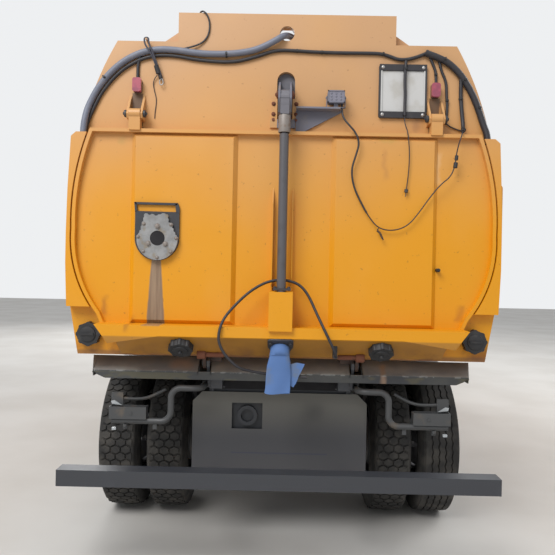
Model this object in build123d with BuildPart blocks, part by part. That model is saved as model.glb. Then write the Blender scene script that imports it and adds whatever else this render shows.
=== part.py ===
from build123d import *
import os
from math import asin, cos, radians, sin, tan

# Street sweeper truck with a tipping hopper, seen from behind with its rear door shut.
# Millimetres. +Y is forwards, +X is the right side, +Z is up. The origin is on the ground
# under the middle of the truck.

os.makedirs("parts", exist_ok=True)

# Overall sizes
bar_rear = -3350
bumper_front = 3350
rear_axle_y = -2140
front_axle_y = 1960
wheel_z = 520
running_fit = 0.05
slide_fit = 0.5
seat_gap = 0.3
swing_gap = 5

# Frame rails
rail_outer = 425
rail_flange = 80
rail_wall = 8
rail_top = 1000
rail_bottom = 730
rail_front = 3160
subframe_top = 1089
subframe_front = 1545
subframe_rear = -2965

# Hopper
hopper_front = 240
hopper_floor = 1220
shoulder_z = 3055
hood_top = 3225
hood_half = 635
hopper_wall = 30
bulkhead_face = -3135
bulkhead_thick = 40
hopper_rear = bulkhead_face + bulkhead_thick
tip_y = -3000
tip_z = 1165
tip_pin = 22

# Rear door
door_inner = bulkhead_face - swing_gap
door_sheet = 22
door_skin = door_inner - door_sheet
panel_rise = 26
door_hinge_x = 866
door_hinge_y = -3190
door_hinge_z = 2615
tray_depth = 150
tray_top = 1410
tray_face_bottom = 1350
tray_low = 1232
ram_x = -5
ram_y = -3270
ram_top_z = 2715
ram_foot_z = 1560

# Wheels
tyre_radius = 520
tyre_width = 275
rim_seat = 286
tyre_bore = rim_seat + seat_gap
bead_half = 92
front_wheel_x = 1030
twin_outer_x = 1087.5
twin_inner_x = 762.5
kingpin_x = 850
disc_offset = 162.5
spindle = 40
rear_spindle = 45

# Cab
cab_wall = 50
cab_half = 1100
cab_rear = 1640
cab_front = 3330
cab_floor = 1130
cab_pivot_y = 3210
cab_pivot_z = 800
door_pin_x = 1112
door_pin_y = 3088


def block(x0, x1, y0, y1, z0, z1, mode=Mode.ADD):
    """A square-cut block between two opposite corners."""
    with Locations(((x0 + x1) / 2, (y0 + y1) / 2, (z0 + z1) / 2)):
        Box(x1 - x0, y1 - y0, z1 - z0, mode=mode)


def side_cut(points, x0, x1, mode=Mode.ADD):
    """An outline of (y, z) corners drawn from the side, as thick as x0 to x1."""
    with BuildSketch(Plane.YZ.offset(x0)) as outline:
        with BuildLine():
            Polyline(*points, close=True)
        make_face()
    extrude(outline.sketch, amount=x1 - x0, mode=mode)


def rear_cut(points, y0, y1, mode=Mode.ADD):
    """An outline of (x, z) corners drawn from behind, from y0 back to y1."""
    with BuildSketch(Plane.XZ.offset(-y0)) as outline:
        with BuildLine():
            Polyline(*points, close=True)
        make_face()
    extrude(outline.sketch, amount=y0 - y1, mode=mode)


def rod_x(x0, x1, y, z, radius, mode=Mode.ADD):
    """A round bar along X."""
    with BuildSketch(Plane.YZ.offset(x0)) as end:
        with Locations((y, z)):
            Circle(radius)
    extrude(end.sketch, amount=x1 - x0, mode=mode)


def rod_y(x, y0, y1, z, radius, mode=Mode.ADD):
    """A round bar along Y, from y0 back to y1."""
    with BuildSketch(Plane.XZ.offset(-y0)) as end:
        with Locations((x, z)):
            Circle(radius)
    extrude(end.sketch, amount=y0 - y1, mode=mode)


def rod_z(x, y, z0, z1, radius, mode=Mode.ADD):
    """A round bar along Z."""
    with BuildSketch(Plane.XY.offset(z0)) as end:
        with Locations((x, y)):
            Circle(radius)
    extrude(end.sketch, amount=z1 - z0, mode=mode)


def bar_between(start, end, radius, mode=Mode.ADD):
    """A round bar between two points."""
    run = Vector(*end) - Vector(*start)
    with BuildSketch(Plane(origin=start, z_dir=run.normalized())) as end_face:
        Circle(radius)
    extrude(end_face.sketch, amount=run.length, mode=mode)


def both_sides():
    """Adds the left-hand copy of what has been drawn on the right."""
    mirror(about=Plane.YZ)


def save(part, name):
    part.part.label = name
    export_step(part.part, f"parts/{name}.step")


# Chassis frame: channel rails, cross members, subframe and the hopper's hinge brackets
valance_rear = -2890
valance_thick = 5
rail_rear = valance_rear + valance_thick + seat_gap
tip_ram_foot = (-2600, 780)
tip_ram_eye = (-2000, 1190)
cross_pivot = (-150, 645)
cross_pivot_bar = 30
cross_member_places = (-2760, -1560, -620, 420, 1080)
spring_x = rail_outer - 73
spring_wide = 60
brush_pivot = (-560, 470)

with BuildPart() as chassis_frame:
    channel = (
        (rail_outer - rail_flange, rail_top),
        (rail_outer, rail_top),
        (rail_outer, rail_bottom),
        (rail_outer - rail_flange, rail_bottom),
        (rail_outer - rail_flange, rail_bottom + rail_wall),
        (rail_outer - rail_wall, rail_bottom + rail_wall),
        (rail_outer - rail_wall, rail_top - rail_wall),
        (rail_outer - rail_flange, rail_top - rail_wall),
    )
    rear_cut(channel, rail_front, rail_rear)
    block(rail_outer - 70, rail_outer, subframe_rear, subframe_front, rail_top, subframe_top)
    lug = (
        (-2780, rail_top - 60), (-2780, subframe_top), (-2960, tip_z + 38), (-3020, tip_z + 38),
        (-3042, tip_z + 15), (-3042, tip_z - 20), (-2960, rail_top + 10), (-2870, rail_top - 15),
        (-2870, rail_top - 60),
    )
    side_cut(lug, rail_outer, rail_outer + 18)
    rod_x(rail_outer + 18, rail_outer + 48, tip_y, tip_z, tip_pin)
    side_cut(((3040, 745), (3040, 870), (3240, 850), (3240, 755)), rail_outer, rail_outer + 18)
    rod_x(rail_outer + 18, rail_outer + 48, cab_pivot_y, cab_pivot_z, 18)
    # spring hangers stand each side of the spring eyes
    for axle_y in (front_axle_y, rear_axle_y):
        for end in (-650, 650):
            eye_y = axle_y + end
            for wall_x in (spring_x - seat_gap - 11.7, spring_x + spring_wide + seat_gap):
                hanger = ((eye_y - 50, rail_bottom), (eye_y + 50, rail_bottom), (eye_y + 28, 660),
                          (eye_y - 28, 660))
                side_cut(hanger, wall_x, wall_x + 11.7)
    # bracket for the wide brush's pivot tube
    side_cut(((-210, rail_bottom), (-90, rail_bottom), (-105, 600), (-195, 600)), 380, 400)
    rod_x(370, 410, cross_pivot[0], cross_pivot[1], cross_pivot_bar + 1, mode=Mode.SUBTRACT)
    both_sides()
    for y in cross_member_places:
        block(-rail_outer + 4, rail_outer - 4, y - 45, y + 45, 900, 985)
    block(-rail_outer, rail_outer, 1680, 1750, rail_top, cab_floor - 12)
    # foot of the tipping ram, between two plates on a cross tube
    block(-rail_outer + 4, rail_outer - 4, -2710, -2650, 745, 800)
    for x in (-64, 46):
        side_cut(((-2700, 745), (-2700, 800), (-2630, 818), (-2575, 815), (-2558, 790),
                  (-2562, 755), (-2610, 740)), x, x + 18)
    rod_x(-60, 60, tip_ram_foot[0], tip_ram_foot[1], 20)
    # towing eye socket behind the rear plate's cut-out
    block(-330, -80, rail_rear + 30, rail_rear + 45, 700, 900)
    block(-rail_outer + 4, rail_outer - 4, rail_rear + 30, rail_rear + 60, 880, 985)
    rod_y(-202, rail_rear + 31, rail_rear + 2, 819, 62)
    rod_y(-202, rail_rear + 31, rail_rear + 2, 819, 40, mode=Mode.SUBTRACT)
    # left post that carries the side brush arm
    block(-640, -rail_outer + 2, brush_pivot[1] - 60, brush_pivot[1] + 60, 745, 785)
    rod_z(brush_pivot[0], brush_pivot[1], 640, 780, 32)
save(chassis_frame, "chassis_frame")

# Leaf springs: three leaves a pack, in a table of axle place and height at the middle
with BuildPart() as leaf_springs:
    eye_z = 690
    for axle_y, middle_z in ((front_axle_y, 612), (rear_axle_y, 655)):
        sag = eye_z - middle_z
        bend = (650**2 + sag**2) / (2 * sag)
        for leaf, half in enumerate((650, 470, 300)):
            inner = bend + leaf * 18
            outer = inner + 18
            turn = asin(half / inner)
            centre_z = middle_z + bend
            with BuildSketch(Plane.YZ.offset(spring_x)):
                with BuildLine():
                    arcs = []
                    for radius in (inner, outer):
                        ends = [
                            (axle_y + radius * sin(a), centre_z - radius * cos(a))
                            for a in (-turn, 0, turn)
                        ]
                        ThreePointArc(*ends)
                        arcs.append(ends)
                    Line(arcs[0][0], arcs[1][0])
                    Line(arcs[0][2], arcs[1][2])
                make_face()
            extrude(amount=spring_wide)
        for end in (-650, 650):
            rod_x(spring_x, spring_x + spring_wide, axle_y + end, eye_z, 22)
    both_sides()
save(leaf_springs, "leaf_springs")

# Front axle: dropped beam with an upright eye at each end for the kingpin
with BuildPart() as front_axle:
    beam = (
        (0, 490), (560, 490), (680, 560), (kingpin_x - 10, 565), (kingpin_x - 10, 475),
        (700, 470), (600, 400), (0, 400),
    )
    rear_cut(beam, front_axle_y + 42, front_axle_y - 42)
    block(rail_outer - 80, rail_outer, front_axle_y - 60, front_axle_y + 60, 480, 557.7)
    both_sides()
    for x in (-kingpin_x, kingpin_x):
        rod_z(x, front_axle_y, 460, 580, 45)
        rod_z(x, front_axle_y, 450, 590, 20 + running_fit, mode=Mode.SUBTRACT)
save(front_axle, "front_axle")

pinion_z = wheel_z + 110

# Rear axle: a tube with a round drive casing and a spindle at each end
with BuildPart() as rear_axle:
    rod_x(-620, 620, rear_axle_y, wheel_z, 75)
    with Locations((0, rear_axle_y, wheel_z)):
        Sphere(205)
    rod_y(0, rear_axle_y + 330, rear_axle_y, pinion_z, 90)
    rod_x(-900, 900, rear_axle_y, wheel_z, rear_spindle)
    for x in (-390, 390):
        block(x - 40, x + 40, rear_axle_y - 60, rear_axle_y + 60, wheel_z, 600.7)
save(rear_axle, "rear_axle")

# Drive line: the engine as one heavy block on two feet, gearbox and propeller shaft
with BuildPart() as drive_line:
    with BuildSketch(Plane.XZ.offset(-2850)):
        with BuildLine():
            Polyline((-190, 640), (190, 640), (300, 800), (300, 1040), (220, 1100), (-220, 1100),
                     (-300, 1040), (-300, 800), close=True)
        make_face()
    extrude(amount=950)
    for x in (-372, 290):
        block(x, x + 82, 2160, 2240, rail_bottom + rail_wall + seat_gap, 860)
    # gearbox and propeller shaft down to the rear axle
    with BuildSketch(Plane.XZ.offset(-1902)):
        with Locations((0, 830)):
            Circle(160)
    with BuildSketch(Plane.XZ.offset(-1250)):
        with Locations((0, 840)):
            Circle(100)
    loft()
    bar_between((0, 1260, 840), (0, rear_axle_y + 333, pinion_z), 38)
save(drive_line, "drive_line")

# Fuel tank on the right, battery box on the left and water tank low on the right
with BuildPart() as side_tanks:
    with BuildSketch(Plane.XZ.offset(1480)):
        with Locations((830, 760)):
            RectangleRounded(620, 460, 110)
    extrude(amount=-480)
    for y in (-1400, -1080):
        block(rail_outer + seat_gap, 540, y - 30, y + 30, 700, 960)
    with BuildSketch(Plane.XZ.offset(1480)):
        with Locations((-840, 780)):
            RectangleRounded(560, 400, 25)
    extrude(amount=-480)
    for y in (-1400, -1080):
        block(-570, -rail_outer - seat_gap, y - 30, y + 30, 760, 960)
    with BuildSketch(Plane.XZ.offset(-1250)):
        with Locations((1020, 760)):
            RectangleRounded(320, 480, 60)
    extrude(amount=2030)
    for y in (-600, 240, 1080):
        block(rail_outer + seat_gap, 880, y - 30, y + 30, 850, 940)
save(side_tanks, "side_tanks")

# Rear underrun bar on two swan-neck brackets that reach back under the rear plate
bar_half = 1225
bar_depth = 100
bar_low = 516
bar_high = 606
with BuildPart() as underrun_bar:
    block(-bar_half, bar_half, bar_rear, bar_rear + bar_depth, bar_low, bar_high)
    for x in (-rail_outer - seat_gap - 18, rail_outer + seat_gap):
        neck = (
            (bar_rear + bar_depth, 590), (bar_rear + bar_depth, 522), (-2960, 395), (-2700, 395),
            (-2560, 740), (-2560, 900), (-2855, 900), (-2855, 462), (-2930, 462),
        )
        side_cut(neck, x, x + 18)
save(underrun_bar, "underrun_bar")

# Folded shelf over the rear tyres, full width at the back and notched for the hinge brackets
shelf_half = 1150
shelf_rear = -2980
shelf_front = -1560
shelf_top = 1095
shelf_sheet = 6
with BuildPart() as tail_shelf:
    block(-shelf_half, shelf_half, shelf_rear, -2700, shelf_top - shelf_sheet, shelf_top)
    block(rail_outer + 40, shelf_half, -2700, shelf_front, shelf_top - shelf_sheet, shelf_top)
    block(-shelf_half, -rail_outer - 40, -2700, shelf_front, shelf_top - shelf_sheet, shelf_top)
    lip = (
        (-shelf_half, shelf_top), (shelf_half, shelf_top), (shelf_half, shelf_top - 8),
        (shelf_half - 75, shelf_top - 40), (-shelf_half + 75, shelf_top - 40),
        (-shelf_half, shelf_top - 8),
    )
    rear_cut(lip, shelf_rear + shelf_sheet, shelf_rear)
    for side in (-1, 1):
        edge = side * (shelf_half - shelf_sheet / 2)
        block(edge - 3, edge + 3, shelf_rear + 10, shelf_front, shelf_top - 30, shelf_top)
        middle = side * (rail_outer + 9)
        block(middle - 16, middle + 16, -3000, -2750, shelf_top - 50, shelf_top + 1,
              mode=Mode.SUBTRACT)
    for side in (-1, 1):
        a = side * (rail_outer + seat_gap)
        b = side * (rail_outer + 60)
        block(min(a, b), max(a, b), -1760, -1700, 1040, shelf_top - 3)
save(tail_shelf, "tail_shelf")

# Grey-green plate that closes the frame's tail between the tyres
with BuildPart() as rear_valance:
    with BuildSketch(Plane.XZ.offset(-valance_rear - valance_thick)):
        with BuildLine():
            right = (544, 470, 967)
            Line((-right[0], right[1]), (right[0], right[1]))
            Line((right[0], right[1]), (right[0], right[2] - 60))
            Line((right[0], right[2] - 60), (right[0] - 60, right[2]))
            Line((right[0] - 60, right[2]), (-right[0] + 60, right[2]))
            Line((-right[0] + 60, right[2]), (-right[0], right[2] - 60))
            Line((-right[0], right[2] - 60), (-right[0], right[1]))
        make_face()
        with Locations(((-298 - 107) / 2, (738 + 900) / 2)):
            Rectangle(298 - 107, 900 - 738, mode=Mode.SUBTRACT)
    extrude(amount=valance_thick)
    block(-544, 544, valance_rear, valance_rear + 25, 470, 475)
save(rear_valance, "rear_valance")

# Bent tube brackets of the tail lamps, each with its empty lamp box and a cross bar
lamp_tube = 19
lamp_y = -3070
with BuildPart() as tail_lamp_brackets:
    with BuildLine():
        FilletPolyline(
            (1000, lamp_y, 818), (648, lamp_y, 818), (648, lamp_y, 1018), (465, lamp_y, 1018),
            (465, -2870, 1018), radius=60,
        )
    with BuildSketch(Plane(origin=(1000, lamp_y, 818), z_dir=(-1, 0, 0))):
        Circle(lamp_tube)
    sweep()
    block(rail_outer + 18 + seat_gap, 480, -2930, -2868, 1000, 1040)
    # lamp box open at the top, on the tube's flat run
    block(790, 1010, lamp_y - 30, lamp_y + 30, 832, 905)
    block(797, 1003, lamp_y - 24, lamp_y + 24, 840, 906, mode=Mode.SUBTRACT)
    side_cut(((lamp_y + 22, 900), (lamp_y + 30, 900), (lamp_y + 30, 980), (lamp_y + 22, 980)),
             940, 1010)
    for x in (730, 905):
        block(x, x + 24, lamp_y - 5, lamp_y + 5, 770, 815)
    both_sides()
save(tail_lamp_brackets, "tail_lamp_brackets")

# Front bumper with rounded ends, hung under the rails
with BuildPart() as front_bumper:
    with BuildSketch(Plane.XY.offset(350)):
        with BuildLine():
            Polyline((-1150, 3060), (-1150, 3240), (-1040, bumper_front), (1040, bumper_front),
                     (1150, 3240), (1150, 3060), (1090, 3060), (1090, 3215), (1015, 3290),
                     (-1015, 3290), (-1090, 3215), (-1090, 3060), close=True)
        make_face()
    extrude(amount=370)
    for x in (-420, 350):
        block(x, x + 70, 3100, 3300, 640, rail_bottom - seat_gap)
    for x in (-960, 960):
        block(x - 110, x + 110, 3338, 3360, 480, 610, mode=Mode.SUBTRACT)
    block(-420, 420, 3330, 3360, 400, 600, mode=Mode.SUBTRACT)
save(front_bumper, "front_bumper")

# Cab steps, each a box with two treads cut in, on a tube from the rail
with BuildPart() as cab_steps:
    side_cut(((2640, 380), (3050, 380), (3050, 870), (2640, 870), (2600, 700), (2600, 430)),
             920, 1110)
    block(970, 1120, 2690, 3000, 430, 590, mode=Mode.SUBTRACT)
    block(970, 1120, 2690, 3000, 650, 810, mode=Mode.SUBTRACT)
    rod_x(rail_outer + seat_gap, 930, 2800, 800, 30)
    both_sides()
save(cab_steps, "cab_steps")

# Auxiliary engine housing between cab and hopper, with louvres down each side
housing_y0 = 300
housing_y1 = 1540
with BuildPart() as engine_housing:
    housing_side = (
        (housing_y0, subframe_top + seat_gap), (housing_y1, subframe_top + seat_gap),
        (housing_y1, 2450), (housing_y1 - 120, 2600), (housing_y0 + 60, 2600), (housing_y0, 2540),
    )
    side_cut(housing_side, -1050, 1050)
    block(-320, 320, housing_y0 - 50, housing_y0 + 10, 1950, 2450)
    for x in (-1051, 1031):
        for row in range(7):
            z = 1500 + row * 110
            block(x, x + 20, 480, 1360, z, z + 40, mode=Mode.SUBTRACT)
    with BuildSketch(Plane.XY.offset(2598)):
        with Locations((-620, 1180)):
            Circle(85)
    extrude(amount=330)
save(engine_housing, "engine_housing")

# Knuckles: ears above and below the axle eye, kingpin, spindle and steering arm
for side, name in ((-1, "left_knuckle"), (1, "right_knuckle")):
    with BuildPart() as knuckle:
        pin_x = side * kingpin_x
        for z0, z1 in ((430, 459.5), (580.5, 610)):
            rod_z(pin_x, front_axle_y, z0, z1, 50)
            a = pin_x
            b = side * (kingpin_x + 75)
            block(min(a, b), max(a, b), front_axle_y - 50, front_axle_y + 50, z0, z1)
        a = side * (kingpin_x + 52)
        b = side * (kingpin_x + 75)
        block(min(a, b), max(a, b), front_axle_y - 50, front_axle_y + 50, 430, 610)
        rod_z(pin_x, front_axle_y, 435, 605, 20)
        a = side * (kingpin_x + 60)
        b = side * (front_wheel_x + 70)
        rod_x(min(a, b), max(a, b), front_axle_y, wheel_z, spindle)
        block(pin_x - 18, pin_x + 18, front_axle_y - 200, front_axle_y, 434, 456)
    save(knuckle, name)

# Tie rod with a ball end over each steering arm
arm_back = 180
with BuildPart() as tie_rod:
    rod_y_place = front_axle_y - arm_back
    rod_x(-kingpin_x + 10, kingpin_x - 10, rod_y_place, 411, 17)
    for x in (-kingpin_x, kingpin_x):
        rod_z(x, rod_y_place, 388, 433.5, 24)
save(tie_rod, "tie_rod")


def wheel_plane(x, axle_y):
    """The upright plane through a wheel's axis: first along the axis, then out from it."""
    return Plane(origin=(x, axle_y, wheel_z), x_dir=(1, 0, 0), z_dir=(0, -1, 0))


def tyre(x, axle_y):
    """One tyre: flat tread with rounded shoulders, and bulged walls down to the bead."""
    half = tyre_width / 2
    with BuildSketch(wheel_plane(x, axle_y)) as profile:
        with BuildLine():
            Line((-bead_half, tyre_bore), (bead_half, tyre_bore))
            for s in (-1, 1):
                ThreePointArc((s * bead_half, tyre_bore), (s * half, 405), (s * 116, 500))
                Line((s * 116, 500), (s * 104, 514))
            ThreePointArc((-104, 514), (0, tyre_radius), (104, 514))
        make_face()
    revolve(profile.sketch, axis=Axis((x, axle_y, wheel_z), (1, 0, 0)))


def rim(x, axle_y, out):
    """One wheel rim: drop-centre barrel, and a disc that cones to its bolting face towards out."""
    barrel = (
        (115, 305), (108, 305), (104, rim_seat), (68, rim_seat), (40, 262), (-40, 262),
        (-68, rim_seat), (-104, rim_seat), (-108, 305), (-115, 305), (-115, 296), (-104, 274),
        (-72, 274), (-44, 250), (44, 250), (72, 274), (104, 274), (115, 296),
    )
    disc = (
        (26, 256), (40, 256), (118, 230), (disc_offset, 200), (disc_offset, 0),
        (disc_offset - 11, 0), (disc_offset - 11, 193), (112, 219), (26, 244),
    )
    for outline in (barrel, disc):
        with BuildSketch(wheel_plane(x, axle_y)) as profile:
            with BuildLine():
                Polyline(*[(out * w, r) for w, r in outline], close=True)
            make_face()
        revolve(profile.sketch, axis=Axis((x, axle_y, wheel_z), (1, 0, 0)))


def hand_holes(x0, x1, axle_y):
    """Eight holes through the cone of the disc."""
    start = Plane(origin=(min(x0, x1), axle_y, wheel_z), x_dir=(0, 1, 0), z_dir=(1, 0, 0))
    with BuildSketch(start) as holes:
        with PolarLocations(215, 8):
            Circle(20)
    extrude(holes.sketch, amount=abs(x1 - x0), mode=Mode.SUBTRACT)


# Front wheels: the disc stands out, and a drum and hub turn on the knuckle's spindle
for side, name in ((-1, "front_left"), (1, "front_right")):
    with BuildPart() as front_tyre:
        tyre(side * front_wheel_x, front_axle_y)
    save(front_tyre, f"{name}_tyre")
    with BuildPart() as front_rim:
        rim(side * front_wheel_x, front_axle_y, side)
        hand_holes(side * (front_wheel_x + 90), side * (front_wheel_x + 180), front_axle_y)
        a = side * (front_wheel_x - 85)
        b = side * (front_wheel_x + 20)
        rod_x(min(a, b), max(a, b), front_axle_y, wheel_z, 200)
        b = side * (front_wheel_x + disc_offset + 45)
        rod_x(min(a, b), max(a, b), front_axle_y, wheel_z, 95)
        b = side * (front_wheel_x + 72)
        rod_x(min(a, b), max(a, b), front_axle_y, wheel_z, spindle + running_fit,
              mode=Mode.SUBTRACT)
    save(front_rim, f"{name}_rim")

# Rear wheels are twins, bolted back to back on one hub
for side, name in ((-1, "rear_left"), (1, "rear_right")):
    with BuildPart() as rear_tyres:
        tyre(side * twin_inner_x, rear_axle_y)
        tyre(side * twin_outer_x, rear_axle_y)
    save(rear_tyres, f"{name}_tyres")
    with BuildPart() as rear_rims:
        rim(side * twin_inner_x, rear_axle_y, side)
        rim(side * twin_outer_x, rear_axle_y, -side)
        hand_holes(side * (twin_inner_x + 80), side * (twin_outer_x - 80), rear_axle_y)
        a = side * (twin_inner_x - 122)
        b = side * twin_inner_x
        rod_x(min(a, b), max(a, b), rear_axle_y, wheel_z, 200)
        b = side * (twin_outer_x - disc_offset + 85)
        rod_x(min(a, b), max(a, b), rear_axle_y, wheel_z, 100)
        b = side * 905
        rod_x(min(a, b), max(a, b), rear_axle_y, wheel_z, rear_spindle + running_fit,
              mode=Mode.SUBTRACT)
    save(rear_rims, f"{name}_rims")


def cab_form(inset):
    """The cab's outer form, or the same form drawn in by an inset."""
    with BuildPart() as form:
        with BuildSketch(Plane.YZ):
            with BuildLine():
                Polyline((cab_rear, cab_floor), (2600, cab_floor), (2620, 900), (cab_front, 900),
                         (cab_front, 1700), (3170, 2700), (3060, 2880), (1760, 2900),
                         (cab_rear, 2780), close=True)
            make_face()
            if inset:
                offset(amount=-inset, kind=Kind.INTERSECTION)
        extrude(amount=1500, both=True)
        with BuildSketch(Plane.XZ):
            with BuildLine():
                Polyline((-cab_half, 800), (cab_half, 800), (cab_half, 1750), (1010, 2950),
                         (-1010, 2950), (-cab_half, 1750), close=True)
            make_face()
            if inset:
                offset(amount=-inset, kind=Kind.INTERSECTION)
        extrude(amount=4000, both=True, mode=Mode.INTERSECT)
        with BuildSketch(Plane.XY):
            with BuildLine():
                Polyline((-cab_half, 1000), (cab_half, 1000), (cab_half, 3180), (950, cab_front),
                         (-950, cab_front), (-cab_half, 3180), close=True)
            make_face()
            if inset:
                offset(amount=-inset, kind=Kind.INTERSECTION)
        extrude(amount=4000, both=True, mode=Mode.INTERSECT)
    return form.part


cab_outer = cab_form(0)
cab_inner = cab_form(cab_wall)
glass_layer = cab_form(20) - cab_form(28)

cab_door_line = ((2150, 1170), (3080, 1170), (3080, 1750), (2960, 2740), (2150, 2740))
cab_window_line = ((2230, 1800), (2990, 1800), (2890, 2660), (2230, 2660))
screen_line = ((-950, 1780), (950, 1780), (880, 2640), (-880, 2640))


def outline_prism(points, plane, amount, grow, mode):
    """A closed outline on a plane, grown or drawn in, and extruded."""
    with BuildSketch(plane) as outline:
        with BuildLine():
            Polyline(*points, close=True)
        make_face()
        if grow:
            offset(amount=grow, kind=Kind.INTERSECTION)
    extrude(outline.sketch, amount=amount, mode=mode)


# Cab shell: walls 50 thick, windscreen and rear window cut, door openings both sides
with BuildPart() as cab_shell:
    add(cab_outer)
    add(cab_inner, mode=Mode.SUBTRACT)
    block(-1050, 1050, cab_rear, 3280, cab_floor, cab_floor + cab_wall)
    block(-1040, 1040, 2590, 3278, 880, cab_floor, mode=Mode.SUBTRACT)
    for side in (-1, 1):
        outline_prism(cab_door_line, Plane.YZ.offset(side * 900), side * 300, 0, Mode.SUBTRACT)
    outline_prism(screen_line, Plane.XZ.offset(-3420), 350, 0, Mode.SUBTRACT)
    block(-500, 500, cab_rear - 10, cab_rear + 100, 2000, 2500, mode=Mode.SUBTRACT)
    for row in range(5):
        z = 1080 + row * 90
        block(-620, 620, cab_front - 18, cab_front + 10, z, z + 35, mode=Mode.SUBTRACT)
    for side in (-1, 1):
        a = side * (rail_outer + 23)
        b = side * (rail_outer + 41)
        with BuildSketch(Plane.YZ.offset(min(a, b))):
            with BuildLine():
                Polyline((3175, cab_floor), (3175, 780), (3245, 780), (3285, 960),
                         (3285, cab_floor), close=True)
            make_face()
        extrude(amount=18)
        rod_x(min(a, b) - 1, max(a, b) + 1, cab_pivot_y, cab_pivot_z, 18 + running_fit,
              mode=Mode.SUBTRACT)
        for z in (1400, 1620):
            for z0 in (z - 40, z + 40.5):
                rod_z(side * door_pin_x, door_pin_y, z0, z0 + 39.5, 11)
                a = side * (cab_half - 4)
                b = side * (door_pin_x + 5)
                block(min(a, b), max(a, b), door_pin_y, door_pin_y + 45, z0, z0 + 39.5)
save(cab_shell, "cab_shell")

with BuildPart() as cab_glass:
    add(glass_layer)
    with BuildPart(mode=Mode.PRIVATE) as panes:
        outline_prism(screen_line, Plane.XZ.offset(-3420), 350, -0.5, Mode.ADD)
        block(-499.5, 499.5, cab_rear - 10, cab_rear + 100, 2000.5, 2499.5)
    add(panes.part, mode=Mode.INTERSECT)
save(cab_glass, "cab_glass")

for side, name in ((-1, "left"), (1, "right")):
    with BuildPart() as cab_door:
        add(cab_outer)
        add(cab_inner, mode=Mode.SUBTRACT)
        outline_prism(cab_door_line, Plane.YZ.offset(side * 900), side * 300, -swing_gap,
                      Mode.INTERSECT)
        outline_prism(cab_window_line, Plane.YZ.offset(side * 900), side * 300, 0, Mode.SUBTRACT)
        # rear edge cut back towards the inside, to swing past the pillar
        with BuildSketch(Plane.XY.offset(1100)):
            with BuildLine():
                Polyline((side * cab_half, 2140), (side * cab_half, 2154), (side * 900, 2176),
                         (side * 900, 2140), close=True)
            make_face()
        extrude(amount=1700, mode=Mode.SUBTRACT)
        for z in (1400, 1620):
            rod_z(side * door_pin_x, door_pin_y, z, z + 40, 11)
            a = side * (cab_half + 1)
            b = side * (door_pin_x + 5)
            block(min(a, b), max(a, b), 3030, door_pin_y, z, z + 40)
            a = side * (cab_half - 4)
            block(min(a, b), max(a, b), 3030, 3068, z, z + 40)
        a = side * (cab_half - 4)
        b = side * (cab_half + 34)
        block(min(a, b), max(a, b), 2210, 2390, 1560, 1600)
    save(cab_door, f"cab_door_{name}")
    with BuildPart() as door_glass:
        add(glass_layer)
        outline_prism(cab_window_line, Plane.YZ.offset(side * 900), side * 300, -0.5,
                      Mode.INTERSECT)
    save(door_glass, f"door_glass_{name}")

# Two cab seats on plinths, and the dashboard with its steering wheel
cab_deck = cab_floor + cab_wall + seat_gap
with BuildPart() as dashboard:
    side_cut(((3275, cab_deck), (3275, 1700), (3050, 1730), (2900, 1640), (2960, 1500),
              (3130, 1400), (3150, cab_deck)), -1060, 1060)
    add(cab_form(cab_wall + seat_gap), mode=Mode.INTERSECT)

with BuildPart() as cab_interior:
    add(dashboard.part)
    for x in (-560, 560):
        block(x - 200, x + 200, 1950, 2350, cab_deck, 1480)
        side_cut(((1900, 1480), (2420, 1480), (2420, 1590), (1990, 1600), (1880, 2280),
                  (1780, 2280), (1850, 1560)), x - 250, x + 250)
        block(x - 130, x + 130, 1800, 1890, 2270, 2440)
    with BuildSketch(Plane(origin=(560, 2800, 1730), z_dir=(0, -0.5, 0.87))):
        Circle(225)
        Circle(198, mode=Mode.SUBTRACT)
        Rectangle(400, 40)
        Circle(60)
    extrude(amount=25)
    bar_between((560, 2805, 1725), (560, 2960, 1600), 28)
save(cab_interior, "cab_interior")

# Mirrors on tube arms from the windscreen pillars
with BuildPart() as cab_mirrors:
    with BuildSketch(Plane.XY.offset(1950)):
        with Locations((1210, 3165)):
            RectangleRounded(150, 90, 30)
    extrude(amount=430)
    for z in (2000, 2330):
        wall_x = cab_half - (cab_half - 1010) * (z - 14 - 1750) / 1200
        rod_x(wall_x + seat_gap, 1200, 3150, z, 14)
    both_sides()
save(cab_mirrors, "cab_mirrors")

# Hopper section up the right side: half width and height of each corner
hopper_corners = ((1190, hopper_floor), (1240, 1500), (1250, 1750), (1250, 1930), (1245, 2180),
                  (1231, 2480), (1198, 2509), (1192, 2525))
shoulder_arc = ((1192, 2525), (1118, 2780), (990, shoulder_z))


def hopper_outline(inset, hood):
    """The hopper's section, both sides, drawn in by an inset, with or without the raised hood."""
    with BuildLine() as outline:
        Polyline((0, hopper_floor), *hopper_corners)
        ThreePointArc(*shoulder_arc)
        if hood:
            Polyline(shoulder_arc[2], (hood_half, shoulder_z), (hood_half, hood_top), (0, hood_top))
        else:
            Line(shoulder_arc[2], (0, shoulder_z))
        mirror(about=Plane.YZ)
    make_face(outline.edges())
    if inset:
        offset(amount=-inset, kind=Kind.INTERSECTION)


def hopper_form(inset):
    """The hopper's body, its front top corner cut back at a slope."""
    with BuildPart() as form:
        with BuildSketch(Plane.XZ.offset(-hopper_front)):
            hopper_outline(inset, False)
        extrude(amount=hopper_front - hopper_rear)
        with BuildSketch(Plane.YZ):
            with BuildLine():
                Polyline((hopper_rear - 100, 1000), (hopper_front, 1000), (hopper_front, 2650),
                         (-60, 3400), (hopper_rear - 100, 3400), close=True)
            make_face()
            if inset:
                offset(amount=-inset, kind=Kind.INTERSECTION)
        extrude(amount=1500, both=True, mode=Mode.INTERSECT)
    return form.part


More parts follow.
